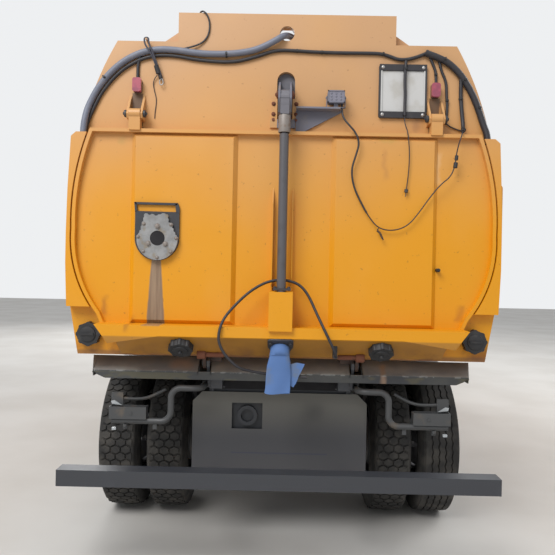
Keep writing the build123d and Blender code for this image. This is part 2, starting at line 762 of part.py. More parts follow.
# Hopper shell: floor, sides, roof and front wall, open at the rear, on two runners
with BuildPart() as hopper_shell:
    add(hopper_form(0))
    with BuildPart(mode=Mode.PRIVATE) as load_space:
        with BuildSketch(Plane.XZ.offset(-(hopper_front - hopper_wall))):
            hopper_outline(hopper_wall, False)
        extrude(amount=hopper_front - hopper_wall - hopper_rear + 10)
        with BuildSketch(Plane.YZ):
            with BuildLine():
                Polyline((hopper_rear - 100, 1000), (hopper_front - hopper_wall, 1000),
                         (hopper_front - hopper_wall, 2640), (-95, 3400), (hopper_rear - 100, 3400),
                         close=True)
            make_face()
        extrude(amount=1500, both=True, mode=Mode.INTERSECT)
    add(load_space.part, mode=Mode.SUBTRACT)
    for x in (-425, 360):
        side_cut(((-2985, hopper_floor + 1), (-2985, 1140), (-2960, 1105), (180, 1105),
                  (180, hopper_floor + 1)), x, x + 65)
    for side in (-1, 1):
        a = side * (rail_outer + 23)
        b = side * (rail_outer + 41)
        side_cut(((-2880, hopper_floor + 1), (-3062, hopper_floor + 1), (-3030, tip_z - 32),
                  (-2970, tip_z - 32)), min(a, b), max(a, b))
        rod_x(min(a, b) - 1, max(a, b) + 1, tip_y, tip_z, tip_pin + running_fit,
              mode=Mode.SUBTRACT)
    # plates for the tipping ram's eye
    for x in (-52, 34):
        side_cut(((-2100, hopper_floor + 1), (-2040, 1160), (-1960, 1160), (-1900, hopper_floor + 1)),
                 x, x + 18)
save(hopper_shell, "hopper_shell")


def door_outline(inset):
    """The rear door's outline, both sides, as a face in the open sketch."""
    with BuildLine() as outline:
        Polyline((0, 1240), (930, 1240), (967, 1305), (1046, 1410), (1067, 1460))
        ThreePointArc((1067, 1460), (1183, 1675), (1219, 1950))
        ThreePointArc((1219, 1950), (1207, 2200), (1124, 2530))
        Line((1124, 2530), (0, 2530))
        mirror(about=Plane.YZ)
    make_face(outline.edges())
    if inset:
        offset(amount=-inset, kind=Kind.INTERSECTION)


# Rear bulkhead: the frame round the door, its slot, cable hole, hood and hinge ears
cable_hole_z = 3113
hood_deep = 203
flank_cover = 65
flank_top = 2505
flank_low = 1500
grab_y = bulkhead_face + 20
door_side_gap = 8
pocket_in = 1150
pocket_out = 1196
pocket_floor = 2475
with BuildPart() as rear_bulkhead:
    with BuildSketch(Plane.XZ.offset(-hopper_rear)):
        hopper_outline(0, True)
        with BuildSketch(mode=Mode.SUBTRACT):
            door_outline(85)
        with Locations((0, cable_hole_z)):
            Circle(43, mode=Mode.SUBTRACT)
        with Locations((0, 2717)):
            SlotOverall(344, 104, rotation=90, mode=Mode.SUBTRACT)
    extrude(amount=bulkhead_thick)
    for side in (-1, 1):
        for x in (side * door_hinge_x - 46, side * door_hinge_x + 33):
            ear = ((bulkhead_face + 2, 2740), (door_hinge_y - 8, 2640), (door_hinge_y - 24, 2612),
                   (door_hinge_y - 12, 2588), (bulkhead_face + 2, 2580))
            side_cut(ear, x, x + 13)
        rod_x(side * door_hinge_x - 50, side * door_hinge_x + 50, door_hinge_y, door_hinge_z, 12)
    # the hood is open to the front: a strip along its top, a cheek and a gusset each side
    block(-hood_half, hood_half, bulkhead_face + 2, bulkhead_face + hood_deep, hood_top - 12,
          hood_top)
    for side in (-1, 1):
        a = side * hood_half
        b = side * (hood_half - 10)
        block(min(a, b), max(a, b), bulkhead_face + 2, bulkhead_face + hood_deep,
              shoulder_z + seat_gap, hood_top)
        gusset = ((side * (hood_half - 2), shoulder_z + seat_gap),
                  (side * (hood_half + 110), shoulder_z + seat_gap),
                  (side * (hood_half - 2), shoulder_z + 62))
        rear_cut(gusset, hopper_rear + 38, hopper_rear + 30)
    # channel covers beside the door, each with a pocket at the top that takes the hoses
    with BuildSketch(Plane.XZ.offset(-bulkhead_face)) as covers:
        hopper_outline(0, False)
        with BuildSketch(mode=Mode.SUBTRACT):
            door_outline(-door_side_gap)
        with Locations((0, flank_top + 500), (0, flank_low - 500)):
            Rectangle(3000, 1000, mode=Mode.SUBTRACT)
    extrude(amount=flank_cover)
    for side in (-1, 1):
        a = side * pocket_in
        b = side * pocket_out
        block(min(a, b), max(a, b), bulkhead_face - flank_cover + 4, bulkhead_face, pocket_floor,
              flank_top + 10, mode=Mode.SUBTRACT)
    # peg that the tie rope's loop hangs on
    rod_y(-812, bulkhead_face + 2, bulkhead_face - 55, 3047.7, 5)
    # grab rail on the right flank
    with BuildLine():
        FilletPolyline((1228, grab_y, 2250), (1268, grab_y, 2250), (1268, grab_y, 1800),
                       (1240, grab_y, 1800), radius=14)
    with BuildSketch(Plane(origin=(1228, grab_y, 2250), z_dir=(1, 0, 0))):
        Circle(12)
    sweep()
save(rear_bulkhead, "rear_bulkhead")

# Dark clevis plates that hold the door ram's rod eye
with BuildPart() as ram_bracket:
    for x in (ram_x - 38, ram_x + 26):
        side_cut(((bulkhead_face + 50, 2575), (bulkhead_face + 50, 2850),
                  (ram_y + 20, 2770), (ram_y - 35, 2735), (ram_y - 35, 2690), (ram_y + 10, 2620)),
                 x, x + 12)
    block(ram_x - 85, ram_x + 62, bulkhead_face - 12, bulkhead_face - seat_gap, 2560, 2610)
save(ram_bracket, "ram_bracket")

# Red marker lamps above the door hinges
lamp_z = 2789
with BuildPart() as marker_lamps:
    for x in (-865, 865):
        with BuildSketch(Plane.XZ.offset(-(bulkhead_face - seat_gap))):
            with Locations((x, lamp_z)):
                RectangleRounded(50, 80, 12)
        extrude(amount=42)
save(marker_lamps, "marker_lamps")

# Blank number board in its frame
with BuildPart() as number_board:
    with BuildSketch(Plane.XZ.offset(-(bulkhead_face - seat_gap))):
        with Locations((677, 2784)):
            RectangleRounded(277, 310, 14)
    extrude(amount=18)
    with BuildSketch(Plane.XZ.offset(-(bulkhead_face - 12))):
        with Locations((677, 2784)):
            RectangleRounded(240, 272, 10)
    extrude(amount=10, mode=Mode.SUBTRACT)
save(number_board, "number_board")

# Work lamp on its three-cornered bracket
with BuildPart() as work_lamp:
    rear_cut(((60, 2668), (325, 2668), (325, 2655), (110, 2540), (60, 2540)),
             bulkhead_face - seat_gap, bulkhead_face - 14)
    block(60, 312, -3215, bulkhead_face - seat_gap, 2658, 2668)
    with BuildSketch(Plane.XZ.offset(3160)):
        with Locations((287, 2727)):
            RectangleRounded(97, 70, 12)
    extrude(amount=55)
    block(275, 299, -3200, -3175, 2660, 2700)
save(work_lamp, "work_lamp")


def lobed_cap(plane, depth):
    """A round cap with eight finger lobes."""
    with BuildSketch(plane) as outline:
        Circle(65)
        with PolarLocations(56, 8):
            Circle(15)
    extrude(outline.sketch, amount=depth)


# Caps on the hopper's lower rear corners
with BuildPart() as corner_caps:
    for x in (-1117, 1117):
        lobed_cap(Plane(origin=(x, bulkhead_face - seat_gap, 1340), z_dir=(0, -1, 0)), 48)
save(corner_caps, "corner_caps")

# Rear door: sheet, raised rim, two pressed panels, ram channel and drain tray
with BuildPart() as rear_door:
    with BuildSketch(Plane.XZ.offset(-door_inner)):
        door_outline(0)
    extrude(amount=door_sheet)
    with BuildSketch(Plane.XZ.offset(-door_skin)):
        door_outline(0)
        with BuildSketch(mode=Mode.SUBTRACT):
            door_outline(20)
        with Locations((0, tray_top - 205)):
            Rectangle(2600, 400, mode=Mode.SUBTRACT)
    extrude(amount=34)
    for x0, x1 in ((-885, -270), (270, 885)):
        with BuildSketch(Plane.XZ.offset(-door_skin)):
            with Locations(((x0 + x1) / 2, (1405 + 2512) / 2)):
                Rectangle(x1 - x0, 2512 - 1405)
        extrude(amount=panel_rise, taper=45)
    # tray, drawn from behind and cut along its sloping underside
    rear_cut(((-1046, tray_top), (1046, tray_top), (967, 1305), (680, tray_face_bottom),
              (-680, tray_face_bottom), (-967, 1305)), door_skin, door_skin - tray_depth)
    with BuildSketch(Plane.YZ.offset(-930)):
        with BuildLine():
            Polyline((door_skin, tray_low), (door_skin - tray_depth, tray_face_bottom),
                     (door_skin, tray_face_bottom), close=True)
        make_face()
    extrude(amount=1860)
    # plates each side of the ram, and the box that its foot stands in
    for x in (-65, 49):
        side_cut(((door_skin + 2, 1600), (door_skin + 2, 2210), (door_skin - 40, 2120),
                  (door_skin - 53, 1600)), x, x + 6)
    block(-72, 61, ram_y - 25, door_skin + 2, 1400, 1612)
    block(ram_x - 34, ram_x + 34, ram_y - 40, door_skin - 8, 1520, 1620, mode=Mode.SUBTRACT)
    rod_x(-60, 50, ram_y, ram_foot_z, 14)
    # hinge knuckles on the top edge
    for side in (-1, 1):
        x0 = side * door_hinge_x - 32.5
        rod_x(x0, x0 + 65, door_hinge_y, door_hinge_z, 30)
        side_cut(((door_inner - 4, 2520), (door_hinge_y - 18, 2520), (door_hinge_y - 22, 2610),
                  (door_hinge_y + 22, 2610)), x0, x0 + 65)
        rod_x(x0 - 1, x0 + 66, door_hinge_y, door_hinge_z, 12 + running_fit, mode=Mode.SUBTRACT)
save(rear_door, "rear_door")

# Gate valve on the left panel: black guide plate with a handle, cover, and open bore
valve_x = -718
valve_z = 1900
panel_face = door_skin - panel_rise
with BuildPart() as gate_valve:
    with BuildSketch(Plane.XZ.offset(-(panel_face - seat_gap))):
        with Locations((valve_x, 1990)):
            RectangleRounded(248, 220, 20)
        with Locations((valve_x, valve_z - 10)):
            Circle(120)
        with Locations((valve_x, 2062)):
            RectangleRounded(170, 36, 10, mode=Mode.SUBTRACT)
    extrude(amount=14)
    with BuildSketch(Plane.XZ.offset(-(panel_face - 14))):
        with Locations((valve_x, valve_z)):
            Circle(100)
        with Locations((valve_x, 1960)):
            Rectangle(150, 90)
    extrude(amount=16)
    with BuildSketch(Plane.XZ.offset(-(panel_face - 28))):
        with Locations((valve_x, valve_z)):
            Circle(58)
    extrude(amount=16)
    rod_y(valve_x, panel_face - 6, panel_face - 60, valve_z, 42, mode=Mode.SUBTRACT)
save(gate_valve, "gate_valve")

# Tray outlets: two lobed caps and the middle pipe that carries the blue hose
slope = Vector(0, -(tray_face_bottom - tray_low), -tray_depth).normalized()
outlet_back = 82
pipe_long = 55
outlet_z = tray_low + (tray_face_bottom - tray_low) * outlet_back / tray_depth - 0.4
with BuildPart() as tray_caps:
    for x in (-565, 565):
        lobed_cap(Plane(origin=(x, door_skin - outlet_back, outlet_z), z_dir=slope), 40)
    with BuildSketch(Plane(origin=(ram_x, door_skin - outlet_back, outlet_z), z_dir=slope)):
        Circle(52)
    extrude(amount=pipe_long)
    # elbow that the ram hose leaves from, under the tray
    elbow_y = door_skin - 63
    elbow_back = door_skin - 100
    drop = (tray_face_bottom - tray_low) / tray_depth
    side_cut(((elbow_y, 1240), (elbow_back, 1240), (elbow_back, tray_low + 100 * drop - 0.4),
              (elbow_y, tray_low + 63 * drop - 0.4)), 294, 318)
save(tray_caps, "tray_caps")

# Flat blue drain hose hanging from the middle outlet, its tail folded to the right
pipe_end = Vector(0, door_skin - outlet_back, outlet_z) + slope * (pipe_long + seat_gap)
pipe_rise = Vector(0, slope.Z, -slope.Y) * 52
with BuildPart() as drain_hose:
    top = pipe_end + pipe_rise
    low = pipe_end - pipe_rise
    side_cut(((top.Y, top.Z), (low.Y, low.Z), (top.Y + 22, 1130), (top.Y + 20, 1028),
              (top.Y - 6, 1028), (top.Y - 4, 1130)), -80, 55)
    rear_cut(((50, 1215), (125, 1205), (130, 1080), (50, 1062)), top.Y + 20, top.Y - 6)
save(drain_hose, "drain_hose")

# Door ram: barrel on the door's foot pin, rod up to the clevis
with BuildPart() as door_ram_barrel:
    rod_z(ram_x, ram_y, ram_foot_z + 24, 2495, 26)
    rod_x(ram_x - 22, ram_x + 22, ram_y, ram_foot_z, 30)
    rod_x(ram_x - 30, ram_x + 30, ram_y, ram_foot_z, 14 + running_fit, mode=Mode.SUBTRACT)
    rod_z(ram_x, ram_y, 1700, 2500, 15 + running_fit, mode=Mode.SUBTRACT)
save(door_ram_barrel, "door_ram_barrel")

with BuildPart() as door_ram_rod:
    rod_z(ram_x, ram_y, 2260, ram_top_z - 22, 15)
    rod_x(ram_x - 25.5, ram_x + 25.5, ram_y, ram_top_z, 28)
save(door_ram_rod, "door_ram_rod")

# Tipping ram, lying forwards from the frame's tail to the hopper floor
ram_run = Vector(0, tip_ram_eye[0] - tip_ram_foot[0], tip_ram_eye[1] - tip_ram_foot[1])
ram_dir = ram_run.normalized()
ram_foot = Vector(0, tip_ram_foot[0], tip_ram_foot[1])


def on_ram(distance):
    return ram_foot + ram_dir * distance


with BuildPart() as tip_ram_barrel:
    with BuildSketch(Plane(origin=on_ram(28), z_dir=ram_dir)):
        Circle(38)
    extrude(amount=60)
    with BuildSketch(Plane(origin=on_ram(74), z_dir=ram_dir)):
        Circle(62)
    extrude(amount=ram_run.length - 74 - 95)
    rod_x(-45.5, 45.5, tip_ram_foot[0], tip_ram_foot[1], 38)
    rod_x(-46, 46, tip_ram_foot[0], tip_ram_foot[1], 20 + running_fit, mode=Mode.SUBTRACT)
    with BuildSketch(Plane(origin=on_ram(90), z_dir=ram_dir)):
        Circle(42 + running_fit)
    extrude(amount=ram_run.length, mode=Mode.SUBTRACT)
save(tip_ram_barrel, "tip_ram_barrel")

with BuildPart() as tip_ram_rod:
    with BuildSketch(Plane(origin=on_ram(100), z_dir=ram_dir)):
        Circle(42)
    extrude(amount=ram_run.length - 100 - 100)
    with BuildSketch(Plane(origin=on_ram(ram_run.length - 104), z_dir=ram_dir)):
        Circle(28)
    extrude(amount=84)
    rod_x(-33.5, 33.5, tip_ram_eye[0], tip_ram_eye[1], 30)
save(tip_ram_rod, "tip_ram_rod")

# Suction tube from the nozzle up to the hopper floor
tube_x = -850
tube_y = 50
with BuildPart() as suction_tube:
    rod_z(tube_x, tube_y, 400, hopper_floor - swing_gap, 125)
    rod_z(tube_x, tube_y, 390, hopper_floor, 117, mode=Mode.SUBTRACT)
    block(tube_x + 124, -rail_outer - seat_gap, tube_y - 40, tube_y + 40, 860, 940)
save(suction_tube, "suction_tube")

# Suction nozzle: a hood open below, with a collar that slides on the tube
with BuildPart() as suction_nozzle:
    with BuildSketch(Plane.XY.offset(190)):
        with Locations((tube_x, 0)):
            Rectangle(700, 400)
    extrude(amount=70)
    with BuildSketch(Plane.XY.offset(260)):
        with Locations((tube_x, 0)):
            Rectangle(700, 400)
    with BuildSketch(Plane.XY.offset(400)):
        with Locations((tube_x, tube_y)):
            Rectangle(300, 290)
    loft()
    rod_z(tube_x, tube_y, 380, 660, 145)
    block(tube_x - 342, tube_x + 342, -192, 192, 180, 262, mode=Mode.SUBTRACT)
    with BuildSketch(Plane.XY.offset(262)):
        with Locations((tube_x, 0)):
            Rectangle(684, 384)
    with BuildSketch(Plane.XY.offset(392)):
        with Locations((tube_x, tube_y)):
            Rectangle(240, 240)
    loft(mode=Mode.SUBTRACT)
    rod_z(tube_x, tube_y, 380, 670, 125 + slide_fit, mode=Mode.SUBTRACT)
save(suction_nozzle, "suction_nozzle")

# Side brush: swinging arm, sliding head, and the brush with its bristle skirt
brush_x = -790
brush_y = 850
with BuildPart() as brush_arm:
    rod_z(brush_pivot[0], brush_pivot[1], 600, 739.5, 46)
    rod_z(brush_pivot[0], brush_pivot[1], 590, 739.6, 32 + running_fit, mode=Mode.SUBTRACT)
    arm_run = (brush_x - brush_pivot[0], brush_y - brush_pivot[1])
    bar_between((brush_pivot[0] + arm_run[0] * 0.1, brush_pivot[1] + arm_run[1] * 0.1, 650),
                (brush_x - arm_run[0] * 0.06, brush_y - arm_run[1] * 0.06, 650), 30)
    rod_z(brush_x, brush_y, 560, 740, 48)
    rod_z(brush_x, brush_y, 550, 750, 30 + running_fit, mode=Mode.SUBTRACT)
    rod_z(brush_pivot[0], brush_pivot[1], 638, 639.5, 44)
save(brush_arm, "brush_arm")

with BuildPart() as brush_head:
    rod_z(brush_x, brush_y, 500, 1010, 30)
    rod_z(brush_x, brush_y, 470, 545, 95)
    rod_z(brush_x, brush_y, 440, 480, 28)
save(brush_head, "brush_head")

with BuildPart() as side_brush:
    with BuildSketch(Plane(origin=(brush_x, brush_y, 0), x_dir=(1, 0, 0), z_dir=(0, -1, 0))):
        with BuildLine():
            Polyline((0, 468), (190, 468), (200, 440), (300, 420), (375, 262), (345, 250),
                     (255, 385), (0, 400), close=True)
        make_face()
    revolve(axis=Axis((brush_x, brush_y, 0), (0, 0, 1)))
    rod_z(brush_x, brush_y, 430, 470, 28 + running_fit, mode=Mode.SUBTRACT)
save(side_brush, "side_brush")

# Wide cross brush on two lift arms from a pivot tube
roller_y = -750
roller_z = 440
roller_radius = 180
arm_x = 790
with BuildPart() as cross_brush_frame:
    rod_x(-arm_x - 8, arm_x + 8, cross_pivot[0], cross_pivot[1], cross_pivot_bar)
    for side in (-1, 1):
        a = side * (arm_x - 8)
        b = side * (arm_x + 8)
        side_cut(((cross_pivot[0] + 40, cross_pivot[1] + 38), (cross_pivot[0] + 40, cross_pivot[1] - 38),
                  (roller_y + 20, roller_z - 50), (roller_y - 50, roller_z - 20),
                  (roller_y - 50, roller_z + 30)), min(a, b), max(a, b))
        a = side * 751.3
        b = side * arm_x
        rod_x(min(a, b), max(a, b), roller_y, roller_z, 24)
    # collars that keep the tube between its brackets
    for side in (-1, 1):
        a = side * 361
        b = side * 379.5
        rod_x(min(a, b), max(a, b), cross_pivot[0], cross_pivot[1], 44)
save(cross_brush_frame, "cross_brush_frame")

with BuildPart() as cross_brush:
    rod_x(-750, 750, roller_y, roller_z, roller_radius)
    for side in (-1, 1):
        a = side * 740
        b = side * 751
        rod_x(min(a, b), max(a, b), roller_y, roller_z, 60)
save(cross_brush, "cross_brush")


def tube_along(points, radius, bend):
    """A tube of straight runs joined by arcs. Each arc takes 0.45 of its shorter run, up to bend."""
    corners = [Vector(p) for p in points]
    radii = []
    for before, at, after in zip(corners, corners[1:], corners[2:]):
        run_in = at - before
        run_out = after - at
        half_turn = radians(run_in.get_angle(run_out)) / 2
        radii.append(min(bend, 0.45 * min(run_in.length, run_out.length) / tan(half_turn)))
    with BuildLine() as route:
        FilletPolyline(*corners, radius=radii)
    with BuildSketch(Plane(origin=corners[0], z_dir=corners[1] - corners[0])) as end:
        Circle(radius)
    path = route.wires()[0]
    sweep(end.sketch, path=path)
    print(f"tube {2 * radius} thick, {path.length:.0f} long, tightest bends",
          sorted(round(r) for r in radii)[:4])


# Hoses and looms that the bulkhead carries, from the left flank over to the right one
on_face = bulkhead_face - seat_gap
main_hose = 18
loom = 10
flank_loom = 19
small_lead = 8
main_y = on_face - main_hose
loom_y = on_face - loom
flank_y = on_face - flank_loom
lead_y = on_face - small_lead
board_front = on_face - 18
tape_y = board_front - 9 - seat_gap
tape_end = 2640
link_back = (1030, -3158, 2570)
link_end = (1016, -3196, 2546)
with BuildPart() as rear_wiring:
    tube_along((
        (-1169, -3176, pocket_floor + seat_gap), (-1169, -3176, 2535), (-1160, -3167, 2608),
        (-1148, main_y, 2668), (-1089, main_y, 2785), (-991, main_y, 2899), (-880, main_y, 2971),
        (-766, main_y, 3002), (-642, main_y, 3000), (-514, main_y, 2981), (-380, main_y, 2979),
        (-253, main_y, 2990), (-159, -3158, 3013), (-75, -3168, 3053), (-28, -3166, 3084),
        (-8, -3122, 3106), (6, -3076, 3124), (42, -3034, 3126), (52, -3022, 3096),
        (52, -3022, shoulder_z + seat_gap),
    ), main_hose, 150)
    tube_along((
        (-1168, loom_y, pocket_floor + seat_gap), (-1168, loom_y, 2535), (-1122, loom_y, 2653),
        (-1064, loom_y, 2767), (-970, loom_y, 2874), (-866, loom_y, 2940), (-762, loom_y, 2970),
        (-646, loom_y, 2968), (-535, loom_y, 2948), (-443, loom_y, 2940), (-360, loom_y, 2936),
        (-284, loom_y, 2942), (-221, loom_y, 2958), (-152, loom_y, 2979), (-96, loom_y, 3001),
        (-30, loom_y, 3012), (62, loom_y, 3009), (158, loom_y, 3004), (316, loom_y, 3001),
        (486, loom_y, 3003), (564, loom_y, 3000), (690, loom_y, 2951), (815, loom_y, 3010),
    ), loom, 150)
    tube_along((
        (802, flank_y, 3007), (903, flank_y, 2974), (970, flank_y, 2925), (1026, flank_y, 2863),
        (1083, flank_y, 2765), (1118, flank_y, 2680), (1146, flank_y, 2595), (1171, -3160, 2530),
        (1171, -3160, pocket_floor + seat_gap),
    ), flank_loom, 200)
    # leads to the right marker lamp, to the door's edge, and down to the lamp cable
    tube_along(((830, lead_y, 2990), (850, lead_y, 2945), (870, lead_y, 2895),
                (870, lead_y, lamp_z + 40 + seat_gap)), small_lead, 100)
    tube_along(((885, lead_y, 2970), (895, lead_y, 2915), (930, lead_y, 2845), (932, lead_y, 2760),
                (940, lead_y, 2690), (930, lead_y, 2600)), small_lead, 100)
    tube_along(((930, lead_y, 2606), (945, lead_y - 2, 2590), (985, lead_y, 2572),
                (1026, lead_y, 2560)), 4, 60)
    tube_along(((1012, flank_y, 2868), (1012, on_face - 11, 2800), (1018, on_face - 11, 2700),
                link_back, link_end), 11, 60)
    # taped lead down the front of the number board
    tube_along(((690, tape_y, 2956), (684, tape_y, 2870), (689, tape_y, 2760),
                (688, tape_y, 2700), (688, tape_y, tape_end)), 9, 200)
    # thin hose from the roof over the hood's top, down to the bundle
    tube_along(((-465, -2925, shoulder_z + seat_gap), (-465, -2925, 3232), (-465, -3142, 3232),
                (-465, -3142, 3195)), 6, 8)
    tube_along(((-465, -3142, 3195), (-449, -3142, 3150), (-458, -3142, 3093), (-489, -3143, 3049),
                (-543, -3150, 3022), (-610, -3153, 3005)), 6, 100)
save(rear_wiring, "rear_wiring")

# Loose lead of the work lamp, slung across the door to the right-hand loom
lamp_exit = (322, -3190, 2692 - seat_gap)
link_run = (Vector(*link_end) - Vector(*link_back)).normalized()
with BuildPart() as lamp_cable:
    tube_along((
        lamp_exit, (322, -3190, 2648), (333, -3206, 2604), (362, -3220, 2566),
        (402, -3222, 2522), (424, -3222, 2462),
        (404, -3216, 2390), (380, -3214, 2310), (396, -3212, 2215), (440, -3212, 2125),
        (490, -3212, 2040), (545, -3212, 1978), (632, -3212, 1968), (712, -3212, 2000),
        (772, -3212, 2075), (826, -3212, 2155), (888, -3212, 2235), (950, -3212, 2285),
        (972, -3212, 2350), (976, -3214, 2405), (985, -3226, 2465),
        Vector(*link_end) + link_run * 50, Vector(*link_end) + link_run * seat_gap,
    ), 5.5, 400)
save(lamp_cable, "lamp_cable")

# Thin lead that hangs from the taped one, over the door
with BuildPart() as board_cable:
    tube_along((
        (688, tape_y, tape_end - seat_gap), (688, tape_y, 2606), (692, -3183, 2573), (699, -3203, 2540),
        (705, -3208, 2490), (711, -3206, 2430), (712, -3205, 2365), (709, -3204, 2300),
        (703, -3203, 2240), (698, -3203, 2205),
    ), 3, 400)
save(board_cable, "board_cable")

# Ram hose: from the elbow under the tray, behind the ram, and round to the left
with BuildPart() as ram_hose:
    tube_along((
        (306, elbow_back - seat_gap, 1252), (306, -3296, 1252), (303, -3326, 1271),
        (290, -3338, 1303), (268, -3340, 1346), (241, -3332, 1400), (192, -3285, 1501),
        (147, -3255, 1599), (96, -3238, 1655),
        (22, -3233, 1676), (-35, -3233, 1675), (-103, -3238, 1657), (-186, -3255, 1605),
        (-266, -3285, 1525), (-324, -3314, 1453), (-347, -3335, 1372), (-340, -3340, 1312),
        (-300, -3340, 1247), (-233, -3328, 1185), (-167, -3290, 1163), (-86, -3264, 1146),
        (0, -3261, 1139), (76, -3262, 1135), (150, -3265, 1131),
    ), 8, 400)
save(ram_hose, "ram_hose")

# Doubled tie rope on its peg, and the thin string that hangs from it
with BuildPart() as tie_rope:
    tube_along((
        (-733, -3150, 2826), (-748, -3156, 2878), (-768, -3166, 2930), (-790, -3178, 2980),
        (-815, -3179, 3010), (-824, -3179, 3034), (-824, -3179, 3058), (-800, -3179, 3058),
        (-800, -3179, 3034), (-788, -3179, 3004), (-771, -3178, 2962), (-752, -3166, 2915),
        (-733, -3156, 2866),
        (-721, -3150, 2826),
    ), 5, 100)
save(tie_rope, "tie_rope")

with BuildPart() as tie_string:
    tube_along((
        (-752, -3149, 2852), (-768, -3145, 2835), (-777, -3141, 2803), (-768, -3137.9, 2762),
        (-756, -3137.9, 2720), (-757, -3137.9, 2680), (-763, -3137.9, 2640), (-764, -3137.9, 2603),
    ), 2.5, 100)
save(tie_string, "tie_string")
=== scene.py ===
from math import atan2, cos, pi, radians, sin

import bmesh
import bpy
from mathutils import Matrix, Vector


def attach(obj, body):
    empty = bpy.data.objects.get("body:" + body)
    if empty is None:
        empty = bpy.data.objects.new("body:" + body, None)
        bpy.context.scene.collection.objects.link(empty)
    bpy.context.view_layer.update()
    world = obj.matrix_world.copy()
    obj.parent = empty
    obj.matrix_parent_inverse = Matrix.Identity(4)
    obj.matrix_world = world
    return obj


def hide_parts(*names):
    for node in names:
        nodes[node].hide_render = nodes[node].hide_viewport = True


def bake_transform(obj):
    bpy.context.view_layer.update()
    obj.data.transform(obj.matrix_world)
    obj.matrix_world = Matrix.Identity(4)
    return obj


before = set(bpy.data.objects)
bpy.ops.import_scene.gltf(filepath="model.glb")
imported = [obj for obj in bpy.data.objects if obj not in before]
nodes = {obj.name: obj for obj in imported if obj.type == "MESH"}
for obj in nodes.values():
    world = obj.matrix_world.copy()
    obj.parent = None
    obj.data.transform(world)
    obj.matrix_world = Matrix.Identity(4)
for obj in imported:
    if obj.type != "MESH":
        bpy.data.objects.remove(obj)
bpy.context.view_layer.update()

# Street sweeper truck: looks around the CAD frame. Metres, +Y forwards, +X right, +Z up.


def srgb(red, green, blue):
    """A colour written in screen values from 0 to 255, as linear light."""
    out = []
    for value in (red, green, blue):
        v = value / 255
        out.append(v / 12.92 if v <= 0.04045 else ((v + 0.055) / 1.055) ** 2.4)
    return (*out, 1.0)


# ---- places on the hopper's rear that several pieces share

board_x, board_z = 0.677, 2.784
hinge_x, hinge_y, hinge_z = 0.866, -3.19, 2.615
ram_x, ram_y = -0.005, -3.27
ram_pin_z = 2.715
cap_x = 1.117
tray_cap_x = 0.565
pipe_y, pipe_z = -3.244, 1.2961
sides = (-1, 1)


# ---- camera

photo_px = 555
focal_px = 600
vanish_px = (4.8, 1.8)
lean = 0.0205
camera_place = Vector((0, -6.64, 1.7))


def make_camera():
    """Stands where the photograph was taken from, leaning a little to the left."""
    data = bpy.data.cameras.new("camera")
    data.sensor_width = 36
    data.lens = focal_px / photo_px * data.sensor_width
    data.clip_end = 200
    camera = bpy.data.objects.new("camera", data)
    bpy.context.scene.collection.objects.link(camera)
    up = Vector((-lean, 0, 1)).normalized()
    right = Vector((1, 0, lean)).normalized()
    ahead = Vector((0, 1, 0)) - right * (vanish_px[0] / focal_px) - up * (vanish_px[1] / focal_px)
    ahead.normalize()
    right = ahead.cross(up).normalized()
    up = right.cross(ahead)
    turn = Matrix((right, up, -ahead)).transposed()
    camera.matrix_world = Matrix.Translation(camera_place) @ turn.to_4x4()
    bpy.context.scene.camera = camera


make_camera()


# ---- materials


def feed(tree, socket, value):
    """Links a value into a socket or sets it there; None leaves the socket as it is."""
    if isinstance(value, bpy.types.NodeSocket):
        tree.links.new(value, socket)
    elif value is not None:
        socket.default_value = value


def add_node(tree, kind, *inputs, **named):
    """A node whose first inputs are links or plain values."""
    made = tree.nodes.new(kind)
    for name, value in named.items():
        setattr(made, name, value)
    for socket, value in zip(made.inputs, inputs):
        feed(tree, socket, value)
    return made


